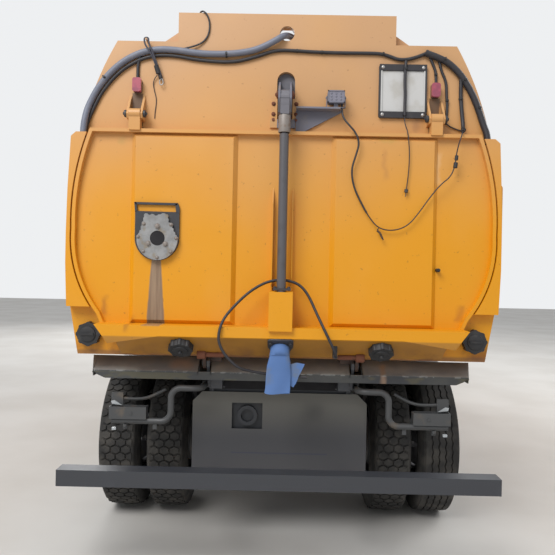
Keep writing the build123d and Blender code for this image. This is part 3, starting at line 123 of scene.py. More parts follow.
class Shade:
    """A material being made: a colour, what is laid over it, and short ways to add nodes."""

    def __init__(self, name, rough=0.5, metal=0.0):
        self.material = bpy.data.materials.new(name)
        self.material.use_nodes = True
        self.tree = self.material.node_tree
        self.surface = self.tree.nodes["Principled BSDF"].inputs
        self.surface["Roughness"].default_value = rough
        self.surface["Metallic"].default_value = metal
        self.place = self.node("ShaderNodeTexCoord").outputs["Object"]
        self.x, self.y, self.z = self.node("ShaderNodeSeparateXYZ", self.place).outputs
        self.colour = None

    def node(self, kind, *inputs, **named):
        return add_node(self.tree, kind, *inputs, **named)

    def math(self, operation, *values):
        return self.node("ShaderNodeMath", *values, operation=operation).outputs[0]

    def times(self, first, second):
        return self.math("MULTIPLY", first, second)

    def step(self, value, low, high):
        """0 below low and 1 above high, smooth between. With low above high it falls."""
        ends = (low, high, 0.0, 1.0) if low <= high else (high, low, 1.0, 0.0)
        made = self.node("ShaderNodeMapRange", value, *ends, interpolation_type="SMOOTHSTEP")
        return made.outputs[0]

    def noise(self, scale, stretch=(1, 1, 1), detail=3.0, shift=0.0):
        """Cloudy values about 0.5, finer with scale and drawn out along a small stretch."""
        spread = self.node("ShaderNodeVectorMath", self.place, stretch, operation="MULTIPLY")
        moved = self.node("ShaderNodeVectorMath", spread.outputs[0], (shift, shift, shift),
                          operation="ADD")
        made = self.node("ShaderNodeTexNoise", moved.outputs[0])
        made.inputs["Scale"].default_value = scale
        made.inputs["Detail"].default_value = detail
        return made.outputs["Fac"]

    def patches(self, low, high, scale, stretch=(1, 1, 1), detail=3.0, shift=0.0):
        """Where the noise is over high, fading out to where it is under low."""
        return self.step(self.noise(scale, stretch, detail, shift), low, high)

    def window(self, x0, x1, z0, z1, soft, rough_edge=0.0):
        """1 inside a rectangle seen from behind, fading over soft, with a ragged edge."""
        x, z = self.x, self.z
        if rough_edge:
            wander = self.math("MULTIPLY_ADD", self.noise(14), rough_edge, -rough_edge / 2)
            x = self.math("ADD", x, wander)
            z = self.math("ADD", z, wander)
        across = self.times(self.step(x, x0 - soft, x0 + soft), self.step(x, x1 + soft, x1 - soft))
        up = self.times(self.step(z, z0 - soft, z0 + soft), self.step(z, z1 + soft, z1 - soft))
        return self.times(across, up)

    def mix(self, amount, under, over):
        """The colour over laid on the colour under by an amount from 0 to 1."""
        made = self.node("ShaderNodeMix", data_type="RGBA")
        colours = [socket for socket in made.inputs if socket.type == "RGBA"]
        for socket, value in zip((made.inputs["Factor"], *colours), (amount, under, over)):
            feed(self.tree, socket, srgb(*value) if isinstance(value, tuple) else value)
        return [socket for socket in made.outputs if socket.type == "RGBA"][0]

    def lay(self, tint, where, amount=1.0):
        """Lays a tint over the colour so far, where the mask is, by an amount."""
        self.colour = self.mix(where if amount == 1.0 else self.times(where, amount), self.colour, tint)

    def bump(self, height, strength, distance=0.002):
        made = self.node("ShaderNodeBump")
        for name, value in (("Strength", strength), ("Distance", distance), ("Height", height)):
            feed(self.tree, made.inputs[name], value)
        feed(self.tree, self.surface["Normal"], made.outputs[0])

    def done(self):
        feed(self.tree, self.surface["Base Color"], self.colour)
        return self.material


yellow_low = (221, 149, 3)
# the paler yellow used high up is painted light
yellow_high_lit = (194, 150, 107)
grime = (116, 74, 36)
rust = (128, 66, 34)
# x, z, half width and half height of the door's spots, their tint and its amount
door_spots = (
    (-0.945, 2.465, 0.014, 0.016, (140, 136, 70), 0.32),
    (0.584, 2.49, 0.05, 0.008, (150, 148, 66), 0.4),
    (0.577, 2.345, 0.009, 0.085, (176, 120, 66), 0.6),
    # thin pale line down the right pad's sloped edge: a painted highlight
    (0.886, 2.33, 0.005, 0.09, (232, 214, 180), 0.45),
    (-0.86, 1.415, 0.006, 0.03, rust, 0.8),
    (-1.03, 1.5, 0.012, 0.05, rust, 0.55),
    (1.03, 1.5, 0.012, 0.04, rust, 0.45),
)


def door_wear_and_highlight(s):
    """Worn bare where the outlet has dripped, spots on the panels with one painted highlight line, a
    browner tray underside.
    """
    widen = s.math("MULTIPLY_ADD", s.z, -0.065, 0.143)
    away = s.math("ABSOLUTE", s.math("ADD", s.x, 0.728))
    ragged = s.math("MULTIPLY_ADD", s.noise(26, (1, 1, 0.25), 5.0), 0.016, -0.008)
    bare = s.step(s.math("SUBTRACT", s.math("ADD", away, ragged), widen), 0.004, -0.004)
    bare = s.times(bare, s.step(s.z, 1.86, 1.84))
    bare = s.times(bare, s.step(s.z, 1.4, 1.415))
    streaks = s.patches(0.35, 0.7, 60, (1, 1, 0.06), 4.0)
    s.lay(s.mix(streaks, (122, 104, 88), (146, 126, 106)), bare, 0.94)
    for x, z, wide, tall, tint, amount in door_spots:
        s.lay(tint, s.window(x - wide, x + wide, z - tall, z + tall, 0.022, 0.06), amount)
    # browner below the tray's lower edge, on its underside
    s.lay((126, 92, 46), s.times(s.step(s.z, 1.352, 1.34), s.step(s.y, -3.155, -3.165)), 0.62)


def bulkhead_wear_and_shade(s):
    """Painted shade in a greasy brown between the hinge ears, a stain by the board and dirt at the foot."""
    for x in (-0.866, 0.866):
        # dark brown between the hinge ears: painted shade
        s.lay((70, 50, 38), s.window(x - 0.032, x + 0.032, 2.52, 2.75, 0.006, 0.02), 0.85)
    s.lay((130, 84, 58), s.window(0.745, 0.785, 2.56, 2.64, 0.03, 0.06), 0.55)
    s.lay((110, 80, 56), s.times(s.step(s.z, 1.255, 1.235), s.step(s.y, -3.1, -3.12)), 0.6)


def shell_underside_dark(s):
    """Everything under the floor, the runners and tipping lugs, is made dark brown."""
    s.lay((70, 50, 40), s.step(s.z, 1.2165, 1.2155))


def yellow_paint(name, wear=None, foot=0.75):
    """Yellow paler high up and deeper low down as painted light, dusty in patches, with grime at the foot.
    """
    s = Shade(name, 0.42)
    # paler towards the top: painted light, mixed with random patches of tone
    height_light_and_tone = s.math("MULTIPLY_ADD", s.noise(1.1, detail=1.0), 0.9, s.math("SUBTRACT", s.z, 0.45))
    s.colour = s.mix(s.step(height_light_and_tone, 1.65, 3.25), yellow_low, yellow_high_lit)
    s.lay((224, 168, 92), s.patches(0.45, 0.75, 2.3, (1, 1, 0.6), shift=4.0), 0.16)
    s.lay(rust, s.times(s.step(s.z, 1.36, 1.22), s.patches(0.35, 0.7, 9, shift=2.0)), foot)
    s.lay(grime, s.patches(0.68, 0.74, 46, detail=4.0, shift=7.0), 0.35)
    # a part's wear can carry painted light too: shade between the hinge ears, a highlight on the door
    if wear:
        wear(s)
    feed(s.tree, s.surface["Roughness"], s.math("MULTIPLY_ADD", s.noise(6, shift=9.0), 0.3, 0.3))
    s.bump(s.noise(3.2, detail=1.0, shift=5.0), 0.25, 0.004)
    return s.done()


def plain_paint(name, colour, worn, rough=0.5, metal=0.0, wear=0.35, grain=9.0):
    """One colour with a second one showing in worn or dusty patches."""
    s = Shade(name, rough, metal)
    s.colour = colour
    s.lay(worn, s.patches(0.55, 0.73, grain, detail=5.0), wear)
    uneven = s.math("MULTIPLY_ADD", s.noise(grain * 1.7, shift=3.0), 0.24, rough - 0.12)
    feed(s.tree, s.surface["Roughness"], uneven)
    s.bump(s.noise(grain * 12, shift=6.0), 0.12, 0.0008)
    return s.done()


def frame_paint():
    """Frame grey, with painted shade where it shows through the rear plate's cut-out."""
    s = Shade("frame grey", 0.45)
    s.colour = s.mix(s.patches(0.55, 0.73, 9.0, detail=5.0), (72, 74, 79), (84, 83, 83))
    # near-black where seen through the rear plate's cut-out: painted shade
    cutout_shade = s.times(s.window(-0.31, -0.09, 0.72, 0.92, 0.004), s.step(s.y, -2.6, -2.7))
    s.lay((34, 36, 40), cutout_shade, 0.75)
    s.bump(s.noise(108, shift=6.0), 0.12, 0.0008)
    return s.done()


def shelf_paint():
    """Dark frame paint on the lip, a slope painted lighter as painted light and darker near its top as
    painted shade, rust patches, traces of yellow on the lip, and a painted highlight with chips along the
    fold.
    """
    s = Shade("scraped shelf", 0.45)
    cloudy = s.patches(0.35, 0.7, 5.0, (1, 1, 2), 5.0)
    # the slope is painted light: paler than the lip to stand in for sky light
    painted_lit_slope = s.mix(cloudy, (122, 124, 126), (150, 149, 144))
    edge = s.mix(cloudy, (60, 62, 66), (76, 77, 75))
    s.colour = s.mix(s.step(s.z, 1.1145, 1.1165), edge, painted_lit_slope)
    # darker towards the top of the slope: painted shade under the hopper
    s.lay((84, 82, 82), s.step(s.z, 1.14, 1.185), 0.5)
    rusty = s.math("ADD", s.window(-0.66, -0.53, 1.135, 1.165, 0.03, 0.05),
                   s.window(0.6, 0.63, 1.05, 1.165, 0.012, 0.03))
    s.lay((170, 138, 112), rusty, 0.65)
    s.lay((104, 98, 68), s.times(s.step(s.z, 1.11, 1.104),
                                 s.patches(0.5, 0.58, 4, (1, 1, 3), 5.0, 8.0)), 0.45)
    # pale line along the fold: a painted highlight, with real white chips in it
    fold = s.times(s.step(s.z, 1.106, 1.114), s.step(s.z, 1.126, 1.118))
    s.lay((160, 162, 160), s.times(fold, s.patches(0.52, 0.62, 30, detail=4.0, shift=5.0)), 0.7)
    s.bump(s.noise(60, shift=2.0), 0.15, 0.001)
    return s.done()


def valance_paint():
    """Grey-green plate, lighter high up, with a blue scrape low down."""
    s = Shade("rear plate", 0.5)
    s.colour = s.mix(s.step(s.z, 0.66, 0.94), (68, 68, 71), (100, 98, 92))
    s.lay((44, 50, 74), s.window(-0.3, 0.3, 0.585, 0.592, 0.003, 0.006), 0.6)
    s.lay((52, 52, 52), s.window(0.16, 0.26, 0.8, 0.9, 0.05, 0.05), 0.45)
    s.bump(s.noise(8, shift=2.0), 0.2, 0.002)
    return s.done()


def cast_cover():
    """Dull zinc grey, blotched with dirt and a little rust."""
    s = Shade("valve cover", 0.6, 0.35)
    s.colour = s.mix(s.patches(0.35, 0.7, 20, detail=5.0), (132, 132, 132), (152, 152, 152))
    s.lay((132, 112, 78), s.patches(0.52, 0.66, 18, detail=4.0, shift=5.0), 0.5)
    s.bump(s.noise(120, shift=1.0), 0.5, 0.001)
    return s.done()


def bracket_paint():
    """Dark grey lamp arm and cheeks, with the foot at the left still yellow."""
    s = Shade("lamp arm", 0.5)
    s.colour = s.mix(s.patches(0.5, 0.7, 10, detail=5.0), (112, 112, 124), (124, 118, 118))
    s.lay((196, 150, 96), s.step(s.x, -0.048, -0.05))
    return s.done()


def marker_paint():
    """Red lens in front of a dark base."""
    s = Shade("marker lamp", 0.35)
    lens = s.mix(s.patches(0.35, 0.65, 26, detail=4.0), (138, 62, 82), (168, 74, 92))
    s.colour = s.mix(s.step(s.y, -3.15, -3.152), (58, 56, 58), lens)
    s.surface["Coat Weight"].default_value = 0.5
    return s.done()


def board_paint():
    """Pale blank board inside a black frame."""
    s = Shade("number board", 0.45)
    inner = s.window(board_x - 0.128, board_x + 0.128, board_z - 0.118, board_z + 0.118, 0.0006)
    dust = s.mix(s.patches(0.45, 0.7, 9, detail=5.0), (194, 193, 191), (180, 177, 171))
    s.colour = s.mix(inner, (52, 52, 56), dust)
    return s.done()


def glass():
    s = Shade("window glass", 0.04)
    s.colour = srgb(205, 214, 214)
    s.surface["Transmission Weight"].default_value = 0.92
    s.surface["IOR"].default_value = 1.2
    return s.done()


def housing_paint():
    """Yellow housing with a sooty exhaust stack."""
    s = Shade("engine housing", 0.42)
    s.colour = s.mix(s.patches(0.4, 0.75, 2.3), yellow_low, (225, 160, 60))
    s.lay((40, 38, 36), s.step(s.z, 2.602, 2.606))
    s.lay(grime, s.step(s.z, 1.35, 1.1), 0.45)
    return s.done()


def tanks_paint():
    """Bare alloy fuel tank, black battery box and black water tank."""
    s = Shade("side tanks", 0.4)
    s.colour = s.mix(s.patches(0.45, 0.7, 7), (34, 34, 35), (58, 56, 53))
    s.lay((150, 150, 148), s.times(s.step(s.y, -0.94, -0.95), s.step(s.x, 0.2, 0.3)))
    return s.done()


def tyre_rubber():
    s = Shade("tyre rubber", 0.85)
    s.colour = s.mix(s.patches(0.4, 0.7, 11, detail=5.0), (44, 43, 42), (70, 67, 63))
    s.bump(s.noise(160), 0.2, 0.0008)
    return s.done()


def interior():
    """Blue-grey seats behind a dark dashboard."""
    s = Shade("cab interior", 0.85)
    s.colour = s.mix(s.step(s.y, 2.62, 2.66), (52, 58, 70), (48, 48, 50))
    s.bump(s.noise(220), 0.3, 0.001)
    return s.done()


def brush_bristle():
    s = Shade("bristle", 0.9)
    s.colour = s.mix(s.patches(0.35, 0.65, 30), (44, 42, 38), (92, 86, 72))
    s.bump(s.noise(90, (1, 1, 0.08)), 1.0, 0.006)
    return s.done()


yellow = yellow_paint("hopper paint", shell_underside_dark)
bulkhead_yellow = yellow_paint("bulkhead paint", bulkhead_wear_and_shade)
door_yellow = yellow_paint("door paint", door_wear_and_highlight)
cab_yellow = yellow_paint("cab paint", foot=0.15)
bumper_grey = plain_paint("bumper grey", (112, 114, 118), (92, 90, 88), 0.55, wear=0.5)
frame_grey = frame_paint()
bar_grey = plain_paint("bar grey", (57, 59, 64), (70, 72, 78), 0.42, wear=0.4, grain=3.0)
worn_zinc = plain_paint("worn zinc", (134, 126, 120), (118, 98, 84), 0.5, 0.25, wear=0.7, grain=40.0)
fork_grey = plain_paint("ram fork", (106, 104, 110), (140, 136, 138), 0.4, 0.2, wear=0.4, grain=14.0)
slot_grey = plain_paint("slot back", (104, 103, 110), (92, 92, 98), 0.6)
# near-black standing in for shade: in the valve cover's bore and behind the rear plate
painted_shade_black = plain_paint("bore", (24, 22, 26), (34, 32, 36), 0.8)
lamp_arm = bracket_paint()
lens_dull = plain_paint("dull lens", (126, 124, 136), (98, 98, 108), 0.3, wear=0.6, grain=50.0)
bracket_grey = plain_paint("lamp bracket grey", (70, 71, 72), (104, 92, 78), 0.45, wear=0.6)
shelf_grey = shelf_paint()
plate_grey = valance_paint()
dark = plain_paint("dark steel", (58, 57, 60), (92, 84, 78), 0.5, wear=0.5, grain=22.0)
ram_dark = plain_paint("ram barrel", (84, 82, 85), (60, 56, 54), 0.4, wear=0.4, grain=12.0)
old_iron = plain_paint("old iron", (70, 52, 42), (44, 40, 38), 0.75, wear=0.7)
bare = plain_paint("bare steel", (172, 170, 168), (132, 104, 84), 0.4, 0.6, wear=0.8, grain=40.0)
chrome = plain_paint("rod chrome", (205, 205, 205), (170, 168, 165), 0.18, 0.95, wear=0.3)
black = plain_paint("black plastic", (38, 38, 40), (66, 64, 62), 0.55, wear=0.5, grain=24.0)
rubber = plain_paint("hose rubber", (110, 114, 128), (132, 132, 140), 0.5, wear=0.5, grain=12.0)
lead_black = plain_paint("lead", (42, 40, 44), (70, 66, 66), 0.5, wear=0.4, grain=20.0)
guide_black = plain_paint("guide plate", (52, 52, 56), (84, 82, 80), 0.6, wear=0.4, grain=18.0)
cover_grey = cast_cover()
rim_grey = plain_paint("rim paint", (78, 78, 80), (100, 84, 66), 0.5, wear=0.5)
marker_red = marker_paint()
board_pale = board_paint()
clear_glass = glass()
stack_yellow = housing_paint()
tank_mix = tanks_paint()
tread_black = tyre_rubber()
inside = interior()
bristle = brush_bristle()
rope_grey = plain_paint("rope", (72, 72, 82), (110, 106, 100), 0.9, wear=0.6, grain=60.0)
hose_blue = plain_paint("lay-flat hose", (84, 116, 168), (104, 114, 126), 0.75, wear=0.7)
lamp_clear = plain_paint("clear lens", (176, 180, 182), (120, 124, 126), 0.2, wear=0.6, grain=60.0)
amber = plain_paint("amber lens", (232, 120, 20), (200, 96, 16), 0.2, wear=0.3)
mirror = plain_paint("mirror glass", (190, 196, 200), (170, 176, 180), 0.08, 0.95, wear=0.2)
sill_brown = plain_paint("dirty sill", (98, 76, 58), (56, 50, 46), 0.8, wear=0.8, grain=22.0)
old_rust = plain_paint("rusty shaft", (112, 66, 46), (72, 52, 42), 0.8, wear=0.7, grain=30.0)

finishes = {
    yellow: ("hopper_shell",),
    bumper_grey: ("front_bumper",),
    bulkhead_yellow: ("rear_bulkhead",),
    door_yellow: ("rear_door",),
    cab_yellow: ("cab_shell", "cab_door_left", "cab_door_right"),
    stack_yellow: ("engine_housing",),
    frame_grey: ("chassis_frame", "cab_steps", "cross_brush_frame", "brush_arm", "suction_nozzle"),
    bar_grey: ("underrun_bar",),
    bracket_grey: ("tail_lamp_brackets",),
    shelf_grey: ("tail_shelf",),
    plate_grey: ("rear_valance",),
    old_iron: ("leaf_springs", "front_axle", "rear_axle", "left_knuckle", "right_knuckle", "tie_rod"),
    dark: ("drive_line", "tip_ram_barrel", "brush_head"),
    lamp_arm: ("ram_bracket", "work_lamp"),
    ram_dark: ("door_ram_barrel",),
    chrome: ("tip_ram_rod",),
    fork_grey: ("door_ram_rod",),
    black: ("cab_mirrors", "corner_caps", "tray_caps"),
    tank_mix: ("side_tanks",),
    guide_black: ("gate_valve",),
    rim_grey: ("front_left_rim", "front_right_rim", "rear_left_rims", "rear_right_rims"),
    marker_red: ("marker_lamps",),
    board_pale: ("number_board",),
    clear_glass: ("cab_glass", "door_glass_left", "door_glass_right"),
    inside: ("cab_interior",),
    rubber: ("suction_tube",),
    bristle: ("side_brush", "cross_brush"),
}


def dress_frame():
    """Every CAD node that shows gets its material."""
    for material, names in finishes.items():
        for name in names:
            nodes[name].data.materials.clear()
            nodes[name].data.materials.append(material)


dress_frame()


# ---- building small pieces


def ring_of(centre, side, other, radius, count):
    """Points on a circle, from one way across it towards another."""
    turns = [2 * pi * i / count for i in range(count)]
    return [centre + (side * cos(a) + other * sin(a)) * radius for a in turns]


def arc(radius, degrees, centre=(0, 0)):
    """Flat points round a centre at these angles."""
    return [(centre[0] + radius * cos(radians(a)), centre[1] + radius * sin(radians(a))) for a in degrees]


class Build:
    """Gathers closed forms and turns them into one piece."""

    def __init__(self):
        self.mesh = bmesh.new()

    def add(self, points, faces):
        made = [self.mesh.verts.new(p) for p in points]
        for face in faces:
            self.mesh.faces.new([made[i] for i in face])

    def rings(self, rings, closed=False):
        """Joins rings of points into a skin, capped at both ends or closed on itself."""
        count = len(rings[0])
        points = [p for ring in rings for p in ring]
        faces = []
        last = len(rings) if closed else len(rings) - 1
        for row in range(last):
            a = row * count
            b = (row + 1) % len(rings) * count
            for i in range(count):
                j = (i + 1) % count
                faces.append((a + i, a + j, b + j, b + i))
        if not closed:
            faces.append(tuple(reversed(range(count))))
            faces.append(tuple(range((len(rings) - 1) * count, len(rings) * count)))
        self.add(points, faces)

    def box(self, low, high):
        (x0, y0, z0), (x1, y1, z1) = low, high
        self.rings([[(x0, y0, z), (x1, y0, z), (x1, y1, z), (x0, y1, z)] for z in (z0, z1)])

    def lathe(self, profile, foot, axis, count=32, closed=False):
        """Turns a profile of (radius, distance along the axis) about an axis from foot."""
        foot = Vector(foot)
        axis = Vector(axis).normalized()
        side = axis.orthogonal().normalized()
        self.rings([ring_of(foot + axis * along, side, axis.cross(side), radius, count)
                    for radius, along in profile], closed)

    def rod(self, start, end, radius, count=20, bevel=0.0):
        """A round bar, its ends eased by a bevel."""
        run = Vector(end) - Vector(start)
        long = run.length
        profile = [(radius, 0), (radius, long)]
        if bevel:
            profile = [(radius - bevel, 0), (radius, bevel), (radius, long - bevel),
                       (radius - bevel, long)]
        self.lathe(profile, start, run, count)

    def bolt(self, place, axis, across, tall):
        """A six-sided bolt head with a washer under it."""
        place = Vector(place)
        axis = Vector(axis).normalized()
        self.rod(place, place + axis * tall * 0.3, across * 0.72, 16)
        self.lathe([(across * 0.5, tall * 0.25), (across * 0.5, tall * 0.9),
                    (across * 0.36, tall)], place, axis, 6)

    def dome(self, place, axis, radius, tall, count=16):
        """A round domed head."""
        profile = [(radius * cos(a), tall * sin(a)) for a in (0, 0.45, 0.9, 1.35)]
        self.lathe(profile, place, axis, count)

    def slab(self, outline, y0, y1):
        """An outline of (x, z) corners seen from behind, from y0 to y1."""
        self.rings([[(x, y0, z) for x, z in outline], [(x, y1, z) for x, z in outline]])

    def tube(self, path, radius, count=12, swell=None):
        """A round tube along points, its radius changed along it by swell(part of length)."""
        points = [Vector(p) for p in path]
        normal = (points[1] - points[0]).orthogonal().normalized()
        last = len(points) - 1
        rings = []
        for i, point in enumerate(points):
            ahead = (points[min(i + 1, last)] - points[max(i - 1, 0)]).normalized()
            normal = (normal - ahead * normal.dot(ahead)).normalized()
            size = radius * (swell(i / last) if swell else 1)
            rings.append(ring_of(point, normal, ahead.cross(normal), size, count))
        self.rings(rings)

    def piece(self, name, material, body, smooth=40):
        """The finished mesh as an object that rides on a body."""
        bmesh.ops.recalc_face_normals(self.mesh, faces=self.mesh.faces)
        data = bpy.data.meshes.new(name)
        for edge in self.mesh.edges:
            if len(edge.link_faces) == 2:
                edge.smooth = edge.calc_face_angle(0) < radians(smooth)
        for face in self.mesh.faces:
            face.smooth = True
        self.mesh.to_mesh(data)
        self.mesh.free()
        made = bpy.data.objects.new(name, data)
        bpy.context.scene.collection.objects.link(made)
        data.materials.append(material)
        if body:
            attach(made, body)
        return made


def nurbs(points):
    """A curve object whose one NURBS spline has these control points."""
    data = bpy.data.curves.new("route", "CURVE")
    data.dimensions = "3D"
    spline = data.splines.new("NURBS")
    spline.points.add(len(points) - 1)
    for place, point in zip(spline.points, points):
        place.co = (*point, 1)
    spline.order_u = 3
    spline.use_endpoint_u = True
    spline.resolution_u = 8
    data.resolution_u = 8
    made = bpy.data.objects.new("route", data)
    bpy.context.scene.collection.objects.link(made)
    return made


def follow(points):
    """Points along the smooth line of a route."""
    curve = nurbs(points)
    line = bpy.data.meshes.new_from_object(curve)
    path = [v.co.copy() for v in line.vertices]
    bpy.data.objects.remove(curve)
    bpy.data.meshes.remove(line)
    return path


def round_cord(name, points, radius, material, body):
    """A free cord as a curve with a round section."""
    made = nurbs(points)
    made.name = name
    made.data.name = name
    made.data.bevel_depth = radius
    made.data.bevel_resolution = 4
    made.data.use_fill_caps = True
    made.data.materials.append(material)
    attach(made, body)
    return made


# ---- cords

tape_y = -3.1626
lamp_route = (
    (0.322, -3.19, 2.6917), (0.322, -3.19, 2.648), (0.333, -3.206, 2.604), (0.362, -3.22, 2.566),
    (0.402, -3.222, 2.522), (0.424, -3.222, 2.462), (0.404, -3.216, 2.39), (0.38, -3.214, 2.31),
    (0.396, -3.212, 2.215), (0.44, -3.212, 2.125), (0.49, -3.212, 2.04), (0.545, -3.212, 1.978),
    (0.632, -3.212, 1.968), (0.712, -3.212, 2.0), (0.772, -3.212, 2.075), (0.826, -3.212, 2.155),
    (0.888, -3.212, 2.235), (0.95, -3.212, 2.285), (0.972, -3.212, 2.35), (0.976, -3.214, 2.405),
    (0.985, -3.226, 2.465),
)
link_back = Vector((1.03, -3.158, 2.57))
link_end = Vector((1.016, -3.196, 2.546))
link_way = (link_end - link_back).normalized()
board_route = (
    (0.688, tape_y, 2.6397), (0.688, tape_y, 2.606), (0.692, -3.183, 2.573), (0.699, -3.203, 2.54),
    (0.705, -3.208, 2.49), (0.711, -3.206, 2.43), (0.712, -3.205, 2.365), (0.709, -3.204, 2.3),
    (0.703, -3.203, 2.24), (0.698, -3.203, 2.205),
)
ram_route = (
    (0.306, -3.2623, 1.252), (0.306, -3.296, 1.252), (0.303, -3.326, 1.271), (0.29, -3.338, 1.303),
    (0.268, -3.34, 1.346), (0.241, -3.332, 1.4), (0.192, -3.285, 1.501), (0.147, -3.255, 1.599),
    (0.096, -3.238, 1.655), (0.022, -3.233, 1.676), (-0.035, -3.233, 1.675), (-0.103, -3.238, 1.657),
    (-0.186, -3.255, 1.605), (-0.266, -3.285, 1.525), (-0.324, -3.314, 1.453), (-0.347, -3.335, 1.372),
    (-0.34, -3.34, 1.312), (-0.3, -3.34, 1.247), (-0.233, -3.328, 1.185), (-0.167, -3.29, 1.163),
    (-0.086, -3.264, 1.146), (0.0, -3.261, 1.139), (0.076, -3.262, 1.135), (0.15, -3.265, 1.131),
)
rope_route = (
    (-0.733, -3.15, 2.826), (-0.748, -3.156, 2.878), (-0.768, -3.166, 2.93), (-0.79, -3.178, 2.98),
    (-0.815, -3.179, 3.01), (-0.824, -3.179, 3.034), (-0.824, -3.179, 3.058), (-0.8, -3.179, 3.058),
    (-0.8, -3.179, 3.034), (-0.788, -3.179, 3.004), (-0.771, -3.178, 2.962), (-0.752, -3.166, 2.915),
    (-0.733, -3.156, 2.866), (-0.721, -3.15, 2.826),
)
string_route = (
    (-0.752, -3.149, 2.852), (-0.768, -3.145, 2.835), (-0.777, -3.141, 2.803), (-0.768, -3.1379, 2.762),
    (-0.756, -3.1379, 2.72), (-0.757, -3.1379, 2.68), (-0.763, -3.1379, 2.64), (-0.764, -3.1379, 2.603),
)


def lamp_lead():
    """The work lamp's lead: thick to the joint in its sheath, thin after it, with its plugs."""
    route = [*lamp_route, link_end + link_way * 0.05, link_end + link_way * 0.0003]
    path = follow(route)
    build = Build()
    build.tube(path, 0.0055, 12, lambda part: 1.0 if part < 0.44 else 0.62)
    lead = build.piece("lamp_lead", lead_black, None)
    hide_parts("lamp_cable")
    plugs = Build()
    middle = Vector((0.9735, -3.2125, 2.365))
    plugs.rod(middle + Vector((-0.002, 0, -0.032)), middle + Vector((0.002, 0, 0.0)), 0.012, 14, 0.002)
    plugs.rod(middle + Vector((0.003, 0, 0.012)), middle + Vector((0.006, -0.001, 0.04)), 0.01, 14, 0.002)
    cap = plugs.piece("lamp_lead_plugs", black, None)
    loop = Build()
    bow = follow([(0.545, -3.214, 1.98), (0.53, -3.216, 1.974), (0.552, -3.218, 1.96),
                  (0.566, -3.218, 1.93), (0.572, -3.218, 1.912), (0.56, -3.218, 1.928),
                  (0.548, -3.218, 1.955), (0.532, -3.217, 1.966)])
    loop.tube(bow, 0.0028, 8)
    tail = loop.piece("lamp_lead_tail", lead_black, None)
    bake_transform(lead)
    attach(cap, "rear_door")
    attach(tail, "rear_door")


def board_lead():
    """Thin lead that hangs over the door from the taped one, a small lamp socket at its end."""
    path = follow(board_route)
    build = Build()
    build.tube(path, 0.003, 10)
    lead = build.piece("board_lead", lead_black, None)
    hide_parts("board_cable")
    socket = Build()
    end = Vector((0.698, -3.203, 2.205))
    socket.rod(end + Vector((0.001, 0, 0.004)), end - Vector((0.001, 0, 0.016)), 0.0105, 14, 0.002)
    socket.rod(end - Vector((0.001, 0, 0.016)), end - Vector((0.004, 0, 0.04)), 0.0022, 8)
    fitting = socket.piece("board_lead_socket", dark, "rear_door")
    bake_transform(lead)


def ram_lead():
    """The door ram's hose, behind the ram and round to the left under the blue hose."""
    path = follow(ram_route)
    made = round_cord("ram_hose_line", ram_route, 0.008, lead_black, "rear_door")
    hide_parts("ram_hose")
    fittings = Build()
    start = Vector(ram_route[0])
    fittings.rod(start + Vector((0, 0.004, 0)), start - Vector((0, 0.03, 0)), 0.012, 12, 0.002)
    ferrule = fittings.piece("ram_hose_ferrule", dark, "rear_door")


def rope_and_string():
    """Doubled tie rope on its peg with a snap hook, and its thin string."""
    path = follow(rope_route)
    rope = round_cord("tie_rope_line", rope_route, 0.005, rope_grey, "hopper")
    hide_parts("tie_rope")
    hook = Build()
    eye = follow([(-0.727, -3.154, 2.832), (-0.738, -3.155, 2.818), (-0.734, -3.156, 2.796),
                  (-0.722, -3.156, 2.792), (-0.714, -3.155, 2.804), (-0.718, -3.154, 2.822),
                  (-0.726, -3.154, 2.838)])
    hook.tube(eye, 0.003, 8)
    snap = hook.piece("snap_hook", bare, "hopper")
    binding = Build()
    binding.rod((-0.757, -3.1636, 2.905), (-0.743, -3.156, 2.858), 0.0135, 12, 0.002)
    binding.rod((-0.735, -3.153, 2.85), (-0.728, -3.152, 2.832), 0.0115, 12, 0.002)
    lashing = binding.piece("rope_lashing", lead_black, "hopper")
    line = follow(string_route)
    string = round_cord("tie_string_line", string_route, 0.0025, lead_black, "hopper")
    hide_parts("tie_string")


lamp_lead()
board_lead()
ram_lead()
rope_and_string()


# ---- hoses and looms that the bulkhead holds all the way

main_y = -3.1533
loom_y = -3.1453
flank_y = -3.1543
lead_y = -3.1433


def level(y, *places):
    """Route points at one y, from their x and z."""
    return tuple((x, y, z) for x, z in places)


main_route = (
    (-1.169, -3.176, 2.4753), (-1.169, -3.176, 2.535), (-1.16, -3.167, 2.608),
    *level(main_y, (-1.148, 2.668), (-1.089, 2.785), (-0.991, 2.899), (-0.88, 2.971), (-0.766, 3.002),
           (-0.642, 3.0), (-0.514, 2.981), (-0.38, 2.979), (-0.253, 2.99)),
    (-0.159, -3.158, 3.013), (-0.075, -3.168, 3.053), (-0.028, -3.166, 3.084),
    (-0.008, -3.122, 3.106), (0.006, -3.076, 3.124), (0.042, -3.034, 3.126),
    (0.052, -3.022, 3.096), (0.052, -3.022, 3.0553),
)
loom_route = level(
    loom_y, (-1.168, 2.4753), (-1.168, 2.535), (-1.122, 2.653), (-1.064, 2.767), (-0.97, 2.874),
    (-0.866, 2.94), (-0.762, 2.97), (-0.646, 2.968), (-0.535, 2.948), (-0.443, 2.94), (-0.36, 2.936),
    (-0.284, 2.942), (-0.221, 2.958), (-0.152, 2.979), (-0.096, 3.001), (-0.03, 3.012), (0.062, 3.009),
    (0.158, 3.004), (0.316, 3.001), (0.486, 3.003), (0.564, 3.0), (0.69, 2.951), (0.815, 3.01),
)
flank_route = (
    *level(flank_y, (0.802, 3.007), (0.903, 2.974), (0.97, 2.925), (1.026, 2.863), (1.083, 2.765),
           (1.118, 2.68), (1.146, 2.595)),
    (1.171, -3.16, 2.53), (1.171, -3.16, 2.4753),
)
